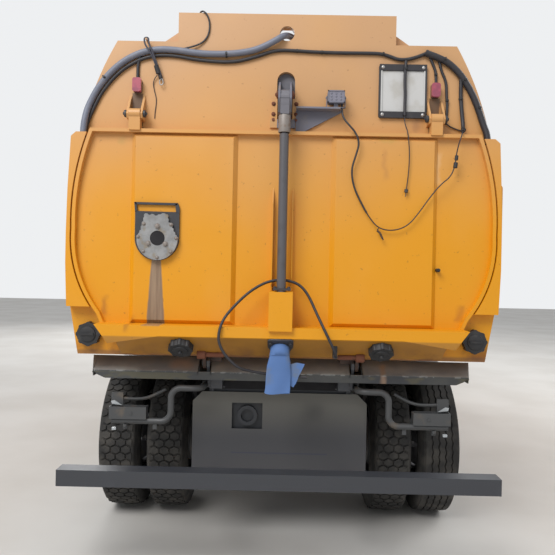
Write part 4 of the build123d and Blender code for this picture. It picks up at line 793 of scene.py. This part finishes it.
# radius and route of the thinner looms
lead_routes = (
    (0.008, level(lead_y, (0.83, 2.99), (0.85, 2.945), (0.87, 2.895), (0.87, 2.8293))),
    (0.008, level(lead_y, (0.885, 2.97), (0.895, 2.915), (0.93, 2.845), (0.932, 2.76), (0.94, 2.69),
                  (0.93, 2.6))),
    (0.004, ((0.93, lead_y, 2.606), (0.945, -3.1453, 2.59), (0.985, lead_y, 2.572),
             (1.026, lead_y, 2.56))),
    (0.011, ((1.012, flank_y, 2.868), (1.012, -3.1463, 2.8), (1.018, -3.1463, 2.7),
             tuple(link_back), tuple(link_end))),
    (0.009, level(tape_y, (0.69, 2.956), (0.684, 2.87), (0.689, 2.76), (0.688, 2.7), (0.688, 2.64))),
    (0.009, ((-0.845, flank_y, 2.985), (-0.862, lead_y, 2.94), (-0.868, lead_y, 2.885),
             (-0.866, lead_y, 2.8293))),
    (0.005, ((-0.525, -2.925, 3.0553), (-0.525, -2.925, 3.19), (-0.528, -2.95, 3.231),
             (-0.522, -3.09, 3.234), (-0.502, -3.138, 3.236), (-0.478, -3.146, 3.224),
             (-0.46, -3.143, 3.195), (-0.451, -3.142, 3.15), (-0.458, -3.142, 3.093),
             (-0.489, -3.143, 3.049), (-0.543, -3.15, 3.022), (-0.61, -3.153, 3.005))),
)
tie_band = 0.008
tie_head = Vector((0.006, 0.004, 0.005))
# place, way along the loom and the loom's radius
cable_ties = (
    ((0.205, loom_y, 3.003), (1, 0, 0), 0.01), ((0.56, loom_y, 2.999), (1, 0, -0.2), 0.011),
    ((0.815, loom_y, 3.008), (1, 0, -0.1), 0.018), ((0.06, loom_y, 3.009), (1, 0, 0), 0.01),
    ((-0.35, main_y, 2.978), (1, 0, 0.05), 0.0185), ((-0.79, main_y, 2.996), (1, 0, 0.2), 0.0185),
    ((-1.055, main_y, 2.83), (0.7, 0, 0.8), 0.0185), ((0.912, flank_y, 2.967), (1, 0, -0.6), 0.0195),
    ((1.029, flank_y, 2.852), (0.5, 0, -0.9), 0.0195), ((1.114, flank_y, 2.692), (0.35, 0, -0.9), 0.0195),
    ((0.868, lead_y, 2.885), (0.1, 0, 1), 0.0085), ((0.936, lead_y, 2.735), (0.1, 0, 1), 0.0085),
    ((1.014, -3.148, 2.745), (0, 0, 1), 0.0115), ((1.024, -3.176, 2.56), (-0.3, -0.6, -0.5), 0.0135),
    ((0.688, tape_y, 2.91), (0, 0, 1), 0.0095),
)


def hoses():
    """The black hose bundle and looms as smooth tubes in place of their CAD tubes."""
    build = Build()
    build.tube(follow(main_route), 0.018, 20)
    thick = build.piece("main_hose", rubber, "hopper")
    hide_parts("rear_wiring")
    build = Build()
    build.tube(follow(loom_route), 0.01, 14)
    build.tube(follow(flank_route), 0.019, 18)
    for radius, route in lead_routes:
        build.tube(follow(route), radius, 12)
    build.piece("wiring_looms", lead_black, "hopper")
    ties = Build()
    for place, way, radius in cable_ties:
        along = Vector(way).normalized()
        at = Vector(place)
        ties.rod(at - along * tie_band / 2, at + along * tie_band / 2, radius + 0.0015, 18)
        head = at - Vector((0, radius + 0.002, 0))
        ties.box(head - tie_head, head + tie_head)
    ties.piece("cable_ties", black, "hopper")


hoses()


# ---- blue hose

# middle x, y and z of each ring, half its width, half its depth, and its tilt
cuff_rings = (
    (-0.005, -3.2514, 1.2867, 0.0545, 0.056, 1.0), (-0.005, -3.2656, 1.2686, 0.055, 0.056, 1.0),
    (-0.006, -3.2774, 1.2537, 0.057, 0.054, 1.0), (-0.007, -3.284, 1.242, 0.055, 0.042, 0.8),
)
hose_rings = (
    (-0.006, -3.287, 1.248, 0.056, 0.03, 0.9), (-0.007, -3.289, 1.222, 0.062, 0.026, 0.62),
    (-0.009, -3.291, 1.196, 0.066, 0.02, 0.35), (-0.01, -3.292, 1.17, 0.068, 0.014, 0.12),
    (-0.011, -3.293, 1.14, 0.069, 0.011, 0.0), (-0.012, -3.2945, 1.105, 0.069, 0.0095, 0.0),
    (-0.013, -3.2955, 1.07, 0.0695, 0.009, 0.0), (-0.016, -3.296, 1.042, 0.0705, 0.009, 0.0),
)


def hose_skin(name, table, creased=False):
    """A soft tube through flattened rings, creased more and more towards its end."""
    columns = 32
    rings = []
    for row, (mx, my, mz, half_x, half_y, tilt) in enumerate(table):
        down = row / (len(table) - 1) if creased else 0
        ring = []
        for i in range(columns):
            a = 2 * pi * i / columns
            deep = half_y * sin(a)
            crease = 0.0035 * sin(3 * a + 5 * down) * down
            ring.append((mx + half_x * cos(a), my + deep * (1 - 0.21 * tilt) + crease,
                         mz - 0.618 * tilt * deep + 0.004 * cos(2 * a + 1) * down))
        rings.append(ring)
    build = Build()
    build.rings(rings)
    return build.piece(name, hose_blue, "rear_door", smooth=60)


def blue_hose():
    """The lay-flat hose: gathered round the pipe, flat lower down, its tail folded right."""
    hose = hose_skin("drain_hose_cloth", hose_rings, creased=True)
    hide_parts("drain_hose")
    # the tail is folded up behind and sticks out to the right
    tail = Build()
    tail.slab([(0.04, 1.2), (0.09, 1.214), (0.136, 1.207), (0.122, 1.176), (0.104, 1.14),
               (0.098, 1.122), (0.088, 1.098), (0.074, 1.076), (0.05, 1.09), (0.045, 1.13)],
              -3.272, -3.282)
    fold = tail.piece("drain_hose_fold", hose_blue, "rear_door", smooth=30)
    cuff = hose_skin("drain_hose_cuff", cuff_rings)
    # two-bolt flange against the tray's underside, square to the pipe
    flange = Build()
    origin = Vector((-0.0025, pipe_y, pipe_z))
    back = Vector((0, -0.786, 0.618))
    off = Vector((0, -0.618, -0.786))
    outline = [(-0.072, 0.01), (-0.072, 0.074), (-0.06, 0.084), (0.06, 0.084), (0.072, 0.074),
               (0.072, 0.01), (0.056, -0.03), (-0.056, -0.03)]
    flange.rings([[origin + Vector((x, 0, 0)) + back * along + off * drop for x, along in outline]
                  for drop in (0.001, 0.009)])
    for x in (-0.056, 0.056):
        flange.bolt(origin + Vector((x, 0, 0)) + back * 0.05 + off * 0.009, off, 0.02, 0.01)
    flange.piece("hose_flange", dark, "rear_door")


blue_hose()


# ---- tyres and wheels

axle_rear = -2.14
axle_front = 1.96
hub_z = 0.52
crown = 0.52
tread_half = 0.107
groove_floor = 0.506
crown_drop = 0.006
crown_half = 0.104
hex_rows = 68
hex_step = 0.068
hex_foot = 0.502
rib_waves = 54
rib_foot = 0.501
front_x = 1.03
twin_outer = 1.0875
twin_inner = 0.7625
rear_disc_x = 0.936
front_disc = 0.1625
front_hub = 0.2073
nut_circle = 0.1675
nut_count = 10


def crown_at(x):
    """Radius of the tread across the tyre."""
    return crown - crown_drop * (x / crown_half) ** 2


def tyre_casing(build, centre, axle_y):
    """The tyre without its tread: walls with low rings and the grooves' floor."""
    half = [
        (0.092, 0.2866), (0.101, 0.3), (0.117, 0.322), (0.13, 0.352), (0.1355, 0.372),
        (0.1378, 0.376), (0.1375, 0.405), (0.1372, 0.409), (0.1345, 0.413), (0.1325, 0.44),
        (0.1295, 0.458), (0.127, 0.462), (0.1215, 0.482), (0.1165, 0.497), (0.1085, 0.503),
        (0.09, 0.5045), (0.045, groove_floor),
    ]
    profile = half + [(0, groove_floor + 0.001)] + [(-x, r) for x, r in reversed(half)]
    build.lathe([(r, x) for x, r in profile], (centre, axle_y, hub_z), (1, 0, 0), 96, closed=True)


def on_tyre(centre, axle_y, x, along, radius):
    """A point on the tyre: x across it, along round it in metres, at a radius."""
    turn = along / crown
    return (centre + x, axle_y + radius * cos(turn), hub_z + radius * sin(turn))


def block_tread(build, centre, axle_y):
    """Six-sided blocks in offset rows, with part blocks on the shoulders."""
    step = 2 * pi * crown / hex_rows
    hexagon = [(0.029, -0.0125), (0.029, 0.0125), (0, 0.0275), (-0.029, 0.0125),
               (-0.029, -0.0125), (0, -0.0275)]
    edge = [(0.0735, -0.0115), (0.0735, 0.0115), (0.098, 0.0215), (tread_half, 0.0215),
            (tread_half, -0.0215), (0.098, -0.0215)]
    for row in range(hex_rows):
        columns = (-0.5, 0.5) if row % 2 else (-1, 0, 1)
        shapes = [[(column * hex_step + x, s) for x, s in hexagon] for column in columns]
        if row % 2:
            shapes += [edge, [(-x, -s) for x, s in edge]]
        for shape in shapes:
            foot = [on_tyre(centre, axle_y, x, row * step + s, hex_foot) for x, s in shape]
            top = [on_tyre(centre, axle_y, x * 0.985, row * step + s * 0.94, crown_at(x)) for x, s in shape]
            build.rings([foot, top])


def rib_tread(build, centre, axle_y):
    """Five ribs round the tyre, parted by four zigzag grooves."""
    steps = rib_waves * 2
    edges = [(-tread_half, -0.07), (-0.061, -0.0265), (-0.0175, 0.0175), (0.0265, 0.061),
             (0.07, tread_half)]
    for left, right in edges:
        rings = []
        for i in range(steps):
            sway = 0.0045 if i % 2 else -0.0045
            a = left + (0 if left == -tread_half else sway)
            b = right + (0 if right == tread_half else sway)
            along = 2 * pi * crown * i / steps
            rings.append([on_tyre(centre, axle_y, x, along, radius) for x, radius in (
                (a, rib_foot), (a, crown_at(a)), (b, crown_at(b)), (b, rib_foot))])
        build.rings(rings, closed=True)


def wheels():
    """Tyres in place of the plain ones, nuts and hub covers on the rims."""
    # name, body, tyres as (centre, has blocks), axle
    table = (
        ("front_left_tyre", "front_left_wheel", ((-front_x, False),), axle_front),
        ("front_right_tyre", "front_right_wheel", ((front_x, False),), axle_front),
        ("rear_left_tyres", "rear_left_wheels", ((-twin_outer, True), (-twin_inner, True)), axle_rear),
        ("rear_right_tyres", "rear_right_wheels", ((twin_outer, False), (twin_inner, True)), axle_rear),
    )
    for node, body, tyres, axle_y in table:
        build = Build()
        for centre, blocks in tyres:
            tyre_casing(build, centre, axle_y)
            (block_tread if blocks else rib_tread)(build, centre, axle_y)
        tyre = build.piece(node + "_tread", tread_black, body, smooth=35)
        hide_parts(node)
        side = 1 if "right" in node else -1
        nuts = Build()
        front = "front" in node
        face = side * (front_x + front_disc if front else rear_disc_x)
        for i in range(nut_count):
            turn = 2 * pi * i / nut_count
            place = (face, axle_y + nut_circle * cos(turn), hub_z + nut_circle * sin(turn))
            nuts.bolt(place, (side, 0, 0), 0.036, 0.03)
        if front:
            nuts.lathe([(0.075, 0), (0.07, 0.018), (0.03, 0.024)],
                       (side * (front_x + front_hub), axle_y, hub_z), (side, 0, 0), 28)
        nuts.piece(node.split("_tyre")[0] + "_nuts", rim_grey, body)


wheels()


# ---- fittings


def valve_cover():
    """Black guide plate with its hand slot, and the ragged cast cover bolted on it."""
    cx, cz = -0.718, 1.9
    back, face, front = -3.1903, -3.204, -3.2205
    plate = Build()
    shapes = (
        [(-0.128, 0.155), (0.108, 0.152), (0.127, 0.145), *arc(0.127, range(0, -181, -6)), (-0.127, 0.13)],
        [(-0.134, 0.206), (-0.121, 0.203), (-0.115, 0.154), (-0.128, 0.15)],
        [(-0.134, 0.206), (0.117, 0.204), (0.11, 0.191), (-0.124, 0.193)],
        [(0.102, 0.198), (0.117, 0.204), (0.127, 0.176), (0.127, 0.144), (0.108, 0.15)],
    )
    for shape in shapes:
        plate.slab([(cx - 0.006 + x, cz + z) for x, z in shape], back, face)
    plate_piece = plate.piece("valve_plate", guide_black, "rear_door")
    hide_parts("gate_valve")
    low = [(0.118 * cos(radians(a)) - 0.002, 0.125 * sin(radians(a))) for a in range(-4, -177, -6)]
    high = [
        (-0.118, 0.009), (-0.11, 0.024), (-0.106, 0.026), (-0.101, 0.044), (-0.095, 0.046),
        (-0.096, 0.066), (-0.0905, 0.07), (-0.0905, 0.09), (-0.082, 0.096), (-0.083, 0.114),
        (-0.078, 0.118), (-0.079, 0.134), (-0.07, 0.141), (-0.06, 0.14), (-0.052, 0.132),
        (-0.044, 0.132), (-0.034, 0.138), (-0.024, 0.136), (-0.015, 0.128), (-0.004, 0.129),
        (0.004, 0.135), (0.016, 0.136), (0.028, 0.143), (0.041, 0.142), (0.047, 0.137),
        (0.056, 0.136), (0.061, 0.128), (0.058, 0.116), (0.063, 0.108), (0.061, 0.092),
        (0.074, 0.088), (0.084, 0.08), (0.083, 0.062), (0.092, 0.054), (0.092, 0.04),
        (0.101, 0.036), (0.103, 0.022), (0.11, 0.018), (0.114, 0.002),
    ]
    ring = high + low
    inner = [(0.0425 * cos(atan2(z, x)), 0.0425 * sin(atan2(z, x))) for x, z in ring]
    build = Build()
    build.rings([[(cx + x, y, cz + z) for x, z in line]
                 for line, y in ((ring, face), (ring, front), (inner, front), (inner, face))], closed=True)
    build.piece("valve_cover", cover_grey, "rear_door", smooth=35)
    bolts = Build()
    for x, z in ((0.0, 0.068), (-0.051, -0.031), (0.047, -0.033)):
        bolts.bolt((cx + x, front, cz + z), (0, -1, 0), 0.022, 0.012)
    for x, z in ((-0.078, 0.08), (0.0765, 0.078), (-0.11, 0.006), (0.108, 0.001), (-0.079, -0.077),
                 (0.078, -0.077), (0.001, -0.111)):
        bolts.rod((cx + x, face, cz + z), (cx + x, front - 0.001, cz + z), 0.0115, 14)
        bolts.dome((cx + x, front - 0.0005, cz + z), (0, -1, 0), 0.0095, 0.007)
    bolts.piece("valve_bolts", worn_zinc, "rear_door")
    # a near-black disc in the cover's bore: painted shade
    bore = Build()
    bore.lathe([(0.0424, 0), (0.0424, 0.002)], (cx, front + 0.004, cz), (0, -1, 0), 32)
    bore.piece("valve_bore_shade", painted_shade_black, "rear_door")


def hinge_pins():
    """Pin heads at both cheeks of each hinge."""
    pins = Build()
    for x in (-hinge_x, hinge_x):
        for side in sides:
            end = (x + side * 0.062, hinge_y, hinge_z)
            pins.rod((x + side * 0.0475, hinge_y, hinge_z), end, 0.021, 18, 0.003)
            pins.bolt(end, (side, 0, 0), 0.016, 0.008)
    pins.piece("hinge_pin_heads", dark, "hopper")


def ram_ends():
    """Bolts and flanges of the ram's bracket, the rod's sleeve and eye block, the barrel's foot."""
    bolts = Build()
    flanges = Build()
    for x in (-0.067, 0.057):
        flanges.box((x - 0.018, -3.142, 2.59), (x + 0.018, -3.1352, 2.73))
        for z in (2.605, 2.64, 2.7):
            bolts.bolt((x + (0.004 if x > 0 else -0.004), -3.142, z), (0, -1, 0), 0.017, 0.01)
    for side in sides:
        end = (ram_x + side * 0.048, ram_y, ram_pin_z)
        bolts.rod((ram_x + side * 0.038, ram_y, ram_pin_z), end, 0.022, 18, 0.002)
        bolts.bolt(end, (side, 0, 0), 0.018, 0.008)
    bolts.piece("ram_bracket_bolts", old_rust, "hopper")
    flanges.piece("ram_bracket_flanges", bulkhead_yellow, "hopper")
    sleeve = Build()
    sleeve.lathe([(0.028, 0), (0.033, 0), (0.034, 0.004), (0.034, 0.09), (0.031, 0.098), (0.028, 0.098)],
                 (ram_x, ram_y, 2.502), (0, 0, 1), 32, closed=True)
    sleeve.piece("ram_sleeve", worn_zinc, "door_ram_rod")
    eye = Build()
    side = [(-3.239, 2.688), *arc(0.031, range(0, 181, 15), (ram_y, 2.703)), (-3.301, 2.688)]
    eye.rings([[(x, y, z) for y, z in side] for x in (-0.03, 0.02)])
    eye.box((-0.03, -3.301, 2.602), (0.02, -3.2982, 2.69))
    eye.box((-0.031, -3.302, 2.655), (0.021, -3.3005, 2.66))
    eye.piece("ram_eye_block", fork_grey, "door_ram_rod", smooth=50)
    foot = Build()
    foot.box((-0.05, -3.297, 1.617), (0.048, -3.243, 1.63))
    for x in (-0.04, 0.038):
        foot.bolt((x, -3.285, 1.63), (0, 0, 1), 0.016, 0.009)
    foot.piece("ram_foot_flange", dark, "door_ram_barrel")


def small_fittings():
    """The board's bolts, the door's rubber stop and the lock shaft with its claws."""
    studs = Build()
    for x in (0.56, 0.794):
        for z in (board_z - 0.137, board_z + 0.137):
            studs.dome((x, board_front - 0.0014, z), (0, -1, 0), 0.0105, 0.006)
    studs.piece("board_bolts", bare, "hopper")
    stop = Build()
    stop.rod((0.894, -3.16, 1.749), (0.894, -3.198, 1.749), 0.011, 16, 0.002)
    stop.rod((0.894, -3.198, 1.749), (0.894, -3.205, 1.749), 0.006, 12)
    stop.piece("door_stop", black, "rear_door")
    lock = Build()
    for side in sides:
        lock.rod((side * 0.33, -3.18, 1.236), (side * 0.45, -3.18, 1.236), 0.015, 16)
        lock.rod((side * 0.432, -3.18, 1.236), (side * 0.482, -3.18, 1.236), 0.027, 18, 0.004)
        lock.slab([(side * 0.44, 1.245), (side * 0.474, 1.245), (side * 0.478, 1.276),
                   (side * 0.446, 1.28)], -3.15, -3.1365)
        lock.box((side * 0.457 - 0.017, -3.19, 1.222), (side * 0.457 + 0.017, -3.1355, 1.248))
    lock.piece("lock_shaft", old_rust, "hopper")
    gussets = Build()
    for side in sides:
        corners = [(side * 0.756, 3.055), (side * 0.63, 3.055), (side * 0.63, 3.142)]
        gussets.slab(corners, -3.075, -3.067)
    gussets.piece("hood_gussets", bulkhead_yellow, "hopper")


def work_lamp_face():
    """The work lamp's bezel, fins, lens and side legs."""
    cx, cz, y = 0.287, 2.727, -3.215
    w, h = 0.0485, 0.035
    bezel = Build()
    for x0, x1, z0, z1 in ((-w, w, h - 0.007, h), (-w, w, -h, 0.006 - h), (-w, 0.006 - w, -h, h),
                           (w - 0.006, w, -h, h)):
        bezel.box((cx + x0, y - 0.006, cz + z0), (cx + x1, y, cz + z1))
    for side in sides:
        x = cx + side * (w + 0.004)
        bezel.box((x - 0.002, -3.2, 2.668), (x + 0.002, -3.178, 2.735))
        bezel.bolt((x, -3.189, 2.726), (side, 0, 0), 0.012, 0.006)
    bezel.box((cx - w - 0.006, -3.2, 2.6682), (cx + w + 0.006, -3.178, 2.672))
    for row in range(4):
        bezel.box((cx - w + 0.004, -3.186 + row * 0.005, cz - h + 0.004),
                  (cx + w - 0.004, -3.184 + row * 0.005, cz + h + 0.004))
    bezel.piece("work_lamp_bezel", lamp_arm, "hopper")
    lens = Build()
    lens.box((cx - w + 0.005, y - 0.003, cz - h + 0.005), (cx + w - 0.005, y + 0.001, cz + h - 0.006))
    lens.piece("work_lamp_lens", lens_dull, "hopper")
    cells = Build()
    for row in (-1, 0, 1):
        for column in (-1, 0, 1):
            cells.dome((cx + column * 0.027, y - 0.003, cz + row * 0.017), (0, -1, 0), 0.0062, 0.003, 12)
    cells.piece("work_lamp_cells", lamp_arm, "hopper")


def cap_grips():
    """Raised rings and grips on the lobed caps of the corners and the tray."""
    corner = Build()
    for x in (-cap_x, cap_x):
        corner.lathe([(0.046, 0), (0.044, 0.006), (0.03, 0.009), (0.012, 0.009)], (x, -3.1831, 1.34),
                     (0, -1, 0), 32)
        corner.box((x - 0.036, -3.1985, 1.334), (x + 0.036, -3.186, 1.346))
    corner.piece("corner_cap_grips", black, "hopper")
    way = Vector((0, -0.118, -0.15)).normalized()
    tray = Build()
    for x in (-tray_cap_x, tray_cap_x):
        foot = Vector((x, pipe_y, pipe_z)) + way * 0.04
        tray.lathe([(0.044, 0), (0.042, 0.006), (0.026, 0.009), (0.012, 0.009)], foot, way, 32)
        tray.rod(foot + way * 0.006, foot + way * 0.022, 0.012, 16, 0.002)
    tray.piece("tray_cap_grips", black, "rear_door")


def lamp_boxes():
    """Broken lens ends in the empty lamp boxes, their bolts and bent stays."""
    shards = Build()
    stays = Build()
    for side in sides:
        shards.slab([(side * 0.944, 0.905), (side * 1.004, 0.913), (side * 1.01, 0.93),
                     (side * 0.99, 0.934)], -3.05, -3.058)
        shards.box((side * 0.985 - 0.012, -3.079, 0.762), (side * 0.985 + 0.012, -3.062, 0.776))
        path = follow([(side * 1.012, -3.04, 0.952), (side * 0.93, -3.03, 0.94),
                       (side * 0.83, -3.01, 0.935), (side * 0.76, -2.985, 0.957),
                       (side * 0.7, -2.965, 0.99)])
        stays.tube(path, 0.01, 10)
        stays.rod((side * 0.88, -3.1, 0.868), (side * 0.88, -3.106, 0.868), 0.008, 12)
        stays.rod((side * 0.917, -3.075, 0.782), (side * 0.917, -3.075, 0.8), 0.012, 12)
    shards.piece("broken_lenses", lamp_clear, "root")
    stays.piece("lamp_stays", bracket_grey, "root")


def tail_apron():
    """Sloped face and lip over the tail shelf, open where the tipping lugs pass."""
    top = (-2.955, 1.19)
    fold = (-3.06, 1.116)
    low_z = 1.068
    half = 1.123
    build = Build()
    section = [top, fold, (fold[0] + 0.005, fold[1] - 0.006), (top[0], top[1] - 0.008)]
    gusset = [top, fold, (fold[0], 1.098), (-2.985, low_z + 0.012), (top[0], low_z + 0.012)]
    for x0, x1 in ((-half, -0.492), (-0.418, 0.418), (0.492, half)):
        ends = []
        for x in (x0, x1):
            spread = 0.028 if x == half else -0.028 if x == -half else 0
            ends.append([(x + (0 if i in (1, 2) else spread), y, z) for i, (y, z) in enumerate(section)])
        build.rings(ends)
        for x in (x0, x1 - 0.005):
            build.rings([[(x + dx, y, z) for y, z in gusset] for dx in (0, 0.005)])
    lip = [(-half, fold[1]), (half, fold[1]), (half, 1.108), (half - 0.075, low_z),
           (0.075 - half, low_z), (-half, 1.108)]
    build.slab(lip, fold[0], fold[0] + 0.006)
    build.piece("shelf_apron", shelf_grey, "root", smooth=30)


def underrun_bolts():
    """Bolts of the underrun bar's brackets."""
    bolts = Build()
    for side in sides:
        for y in (-2.62, -2.7):
            for z in (0.8, 0.86):
                bolts.bolt((side * 0.4435, y, z), (side, 0, 0), 0.024, 0.014)
    bolts.piece("underrun_bracket_bolts", dark, "root")


def cab_lamps():
    """Headlamps and beacons."""
    lamps = Build()
    domes = Build()
    feet = Build()
    for side in sides:
        x = side * headlamp_x
        lamps.box((x - 0.1, 3.333, 0.487), (x + 0.1, 3.341, 0.603))
        for dx in (-0.052, 0.052):
            lamps.lathe([(0.044, 0), (0.042, 0.006), (0.03, 0.011), (0.01, 0.013)],
                        (x + dx, 3.34, 0.545), (0, 1, 0), 28)
        roof = (side * 0.62, 2.7, 2.886)
        feet.lathe([(0.075, -0.012), (0.075, 0.028), (0.062, 0.034)], roof, (0, 0, 1), 28)
        domes.lathe([(0.06, 0.03), (0.06, 0.11), (0.05, 0.135), (0.02, 0.146)], roof, (0, 0, 1), 28)
    lamps.piece("headlamps", lamp_clear, "root")
    domes.piece("beacon_domes", amber, "cab")
    feet.piece("beacon_feet", black, "cab")


def tank_caps():
    """Screw caps of the fuel and water tanks."""
    caps = Build()
    caps.lathe([(0.045, 0), (0.045, 0.025), (0.038, 0.032)], (1.02, -1.24, 0.9895), (0, 0, 1), 24)
    caps.lathe([(0.05, 0), (0.05, 0.02), (0.042, 0.026)], (1.02, 1.15, 0.9995), (0, 0, 1), 24)
    caps.piece("tank_caps", black, "root")


headlamp_x = 0.96
board_front = -3.1535
# name, material, body and slot of each piece made of plain boxes, and their corners
box_pieces = (
    ("ram_box_front", door_yellow, "rear_door", "body_yellow",
     [((-0.072, -3.336, 1.392), (0.06, -3.3035, 1.609))]),
    ("board_bands", lead_black, "hopper", "white_board",
     [((0.5395, board_front - 0.0015, board_z + z0), (0.8145, board_front, board_z + z1))
      for z0, z1 in ((0.119, 0.155), (-0.155, -0.119))]),
    ("slot_back", slot_grey, "hopper", "dark_steel", [((-0.064, -3.1015, 2.66), (0.056, -3.0985, 2.92))]),
    # near-black sheets behind the rear plate's cut-out and under the tail shelf: painted shade
    ("tail_shade_sheets", painted_shade_black, "root", "chassis_grey",
     [((-0.4, -2.884, 0.985), (0.4, -2.876, 1.085)), ((-0.3, -2.842, 0.735), (-0.105, -2.838, 0.903))]),
    ("floor_sill", sill_brown, "hopper", "rusty_steel", [((-0.418, -2.955, 1.165), (0.418, -2.9, 1.2195))]),
    ("headlamp_frames", black, "root", "black_plastic",
     [((side * headlamp_x + dx - 0.005, 3.3335, 0.482), (side * headlamp_x + dx + 0.005, 3.3505, 0.608))
      for side in sides for dx in (-0.103, 0.103)]),
    ("side_indicators", amber, "cab", "red_lens",
     [((side * 1.1005 - 0.004, 3.08, 1.05), (side * 1.1005 + 0.008, 3.16, 1.11)) for side in sides]),
    ("grille_slats", black, "cab", "black_plastic",
     [((-0.615, 3.3125, z + 0.004), (0.615, 3.3165, z + 0.031)) for z in (1.08, 1.17, 1.26, 1.35, 1.44)]),
    ("mirror_panes", mirror, "cab", "window_glass",
     [((side * 1.21 - 0.062, 3.117, 1.975), (side * 1.21 + 0.062, 3.1205, 2.355)) for side in sides]),
    ("tank_straps", dark, "root", "dark_steel",
     [box for y in (-1.4, -1.08) for box in (((1.1405, y - 0.02, 0.64), (1.1435, y + 0.02, 0.88)),
                                                ((0.64, y - 0.02, 0.9905), (1.03, y + 0.02, 0.9935)))]),
    ("battery_lid", black, "root", "black_plastic", [((-1.124, -1.484, 0.93), (-0.556, -0.996, 0.988))]),
)
for name, material, body, slot, boxes in box_pieces:
    plain = Build()
    for low, high in boxes:
        plain.box(low, high)
    plain.piece(name, material, body)
valve_cover()
hinge_pins()
ram_ends()
small_fittings()
work_lamp_face()
cap_grips()
lamp_boxes()
tail_apron()
underrun_bolts()
cab_lamps()
tank_caps()


# ---- floor, light and background

floor_size = 60.0


def stage():
    """A plain pale floor and a pale background, under soft light."""
    build = Build()
    half = floor_size / 2
    build.box((-half, -half, -0.05), (half, half, -0.0005))
    s = Shade("floor", 0.9)
    s.colour = s.mix(s.patches(0.3, 0.7, 0.8, detail=4.0), (196, 192, 186), (206, 203, 198))
    build.piece("floor", s.done(), None)
    world = bpy.data.worlds.new("sky")
    bpy.context.scene.world = world
    world.use_nodes = True
    tree = world.node_tree
    tree.nodes.clear()
    rays = tree.nodes.new("ShaderNodeLightPath").outputs
    direct = add_node(tree, "ShaderNodeMath", rays["Is Camera Ray"], rays["Is Glossy Ray"], operation="ADD")
    seen = add_node(tree, "ShaderNodeMath", direct.outputs[0], rays["Is Transmission Ray"],
                    operation="ADD", use_clamp=True)
    light = add_node(tree, "ShaderNodeBackground", (0.93, 0.96, 1.0, 1), 0.62)
    backdrop = add_node(tree, "ShaderNodeBackground", (0.93, 0.945, 0.96, 1), 0.92)
    mixed = add_node(tree, "ShaderNodeMixShader", seen.outputs[0], light.outputs[0], backdrop.outputs[0])
    add_node(tree, "ShaderNodeOutputWorld", mixed.outputs[0])


def lamp(name, place, aim, size, power):
    """A soft square lamp."""
    data = bpy.data.lights.new(name, "AREA")
    data.shape = "SQUARE"
    data.size = size
    data.energy = power
    made = bpy.data.objects.new(name, data)
    bpy.context.scene.collection.objects.link(made)
    made.location = place
    made.rotation_euler = (Vector(aim) - Vector(place)).to_track_quat("-Z", "Y").to_euler()


stage()
lamp("key", (-4, -9.5, 9), (0, -2, 1.4), 5, 860)
lamp("side", (9, 1, 7), (0, 0, 1.4), 6, 500)
lamp("front", (-3, 11, 7), (0, 2, 1.4), 6, 600)
bpy.context.scene.view_settings.view_transform = "Standard"
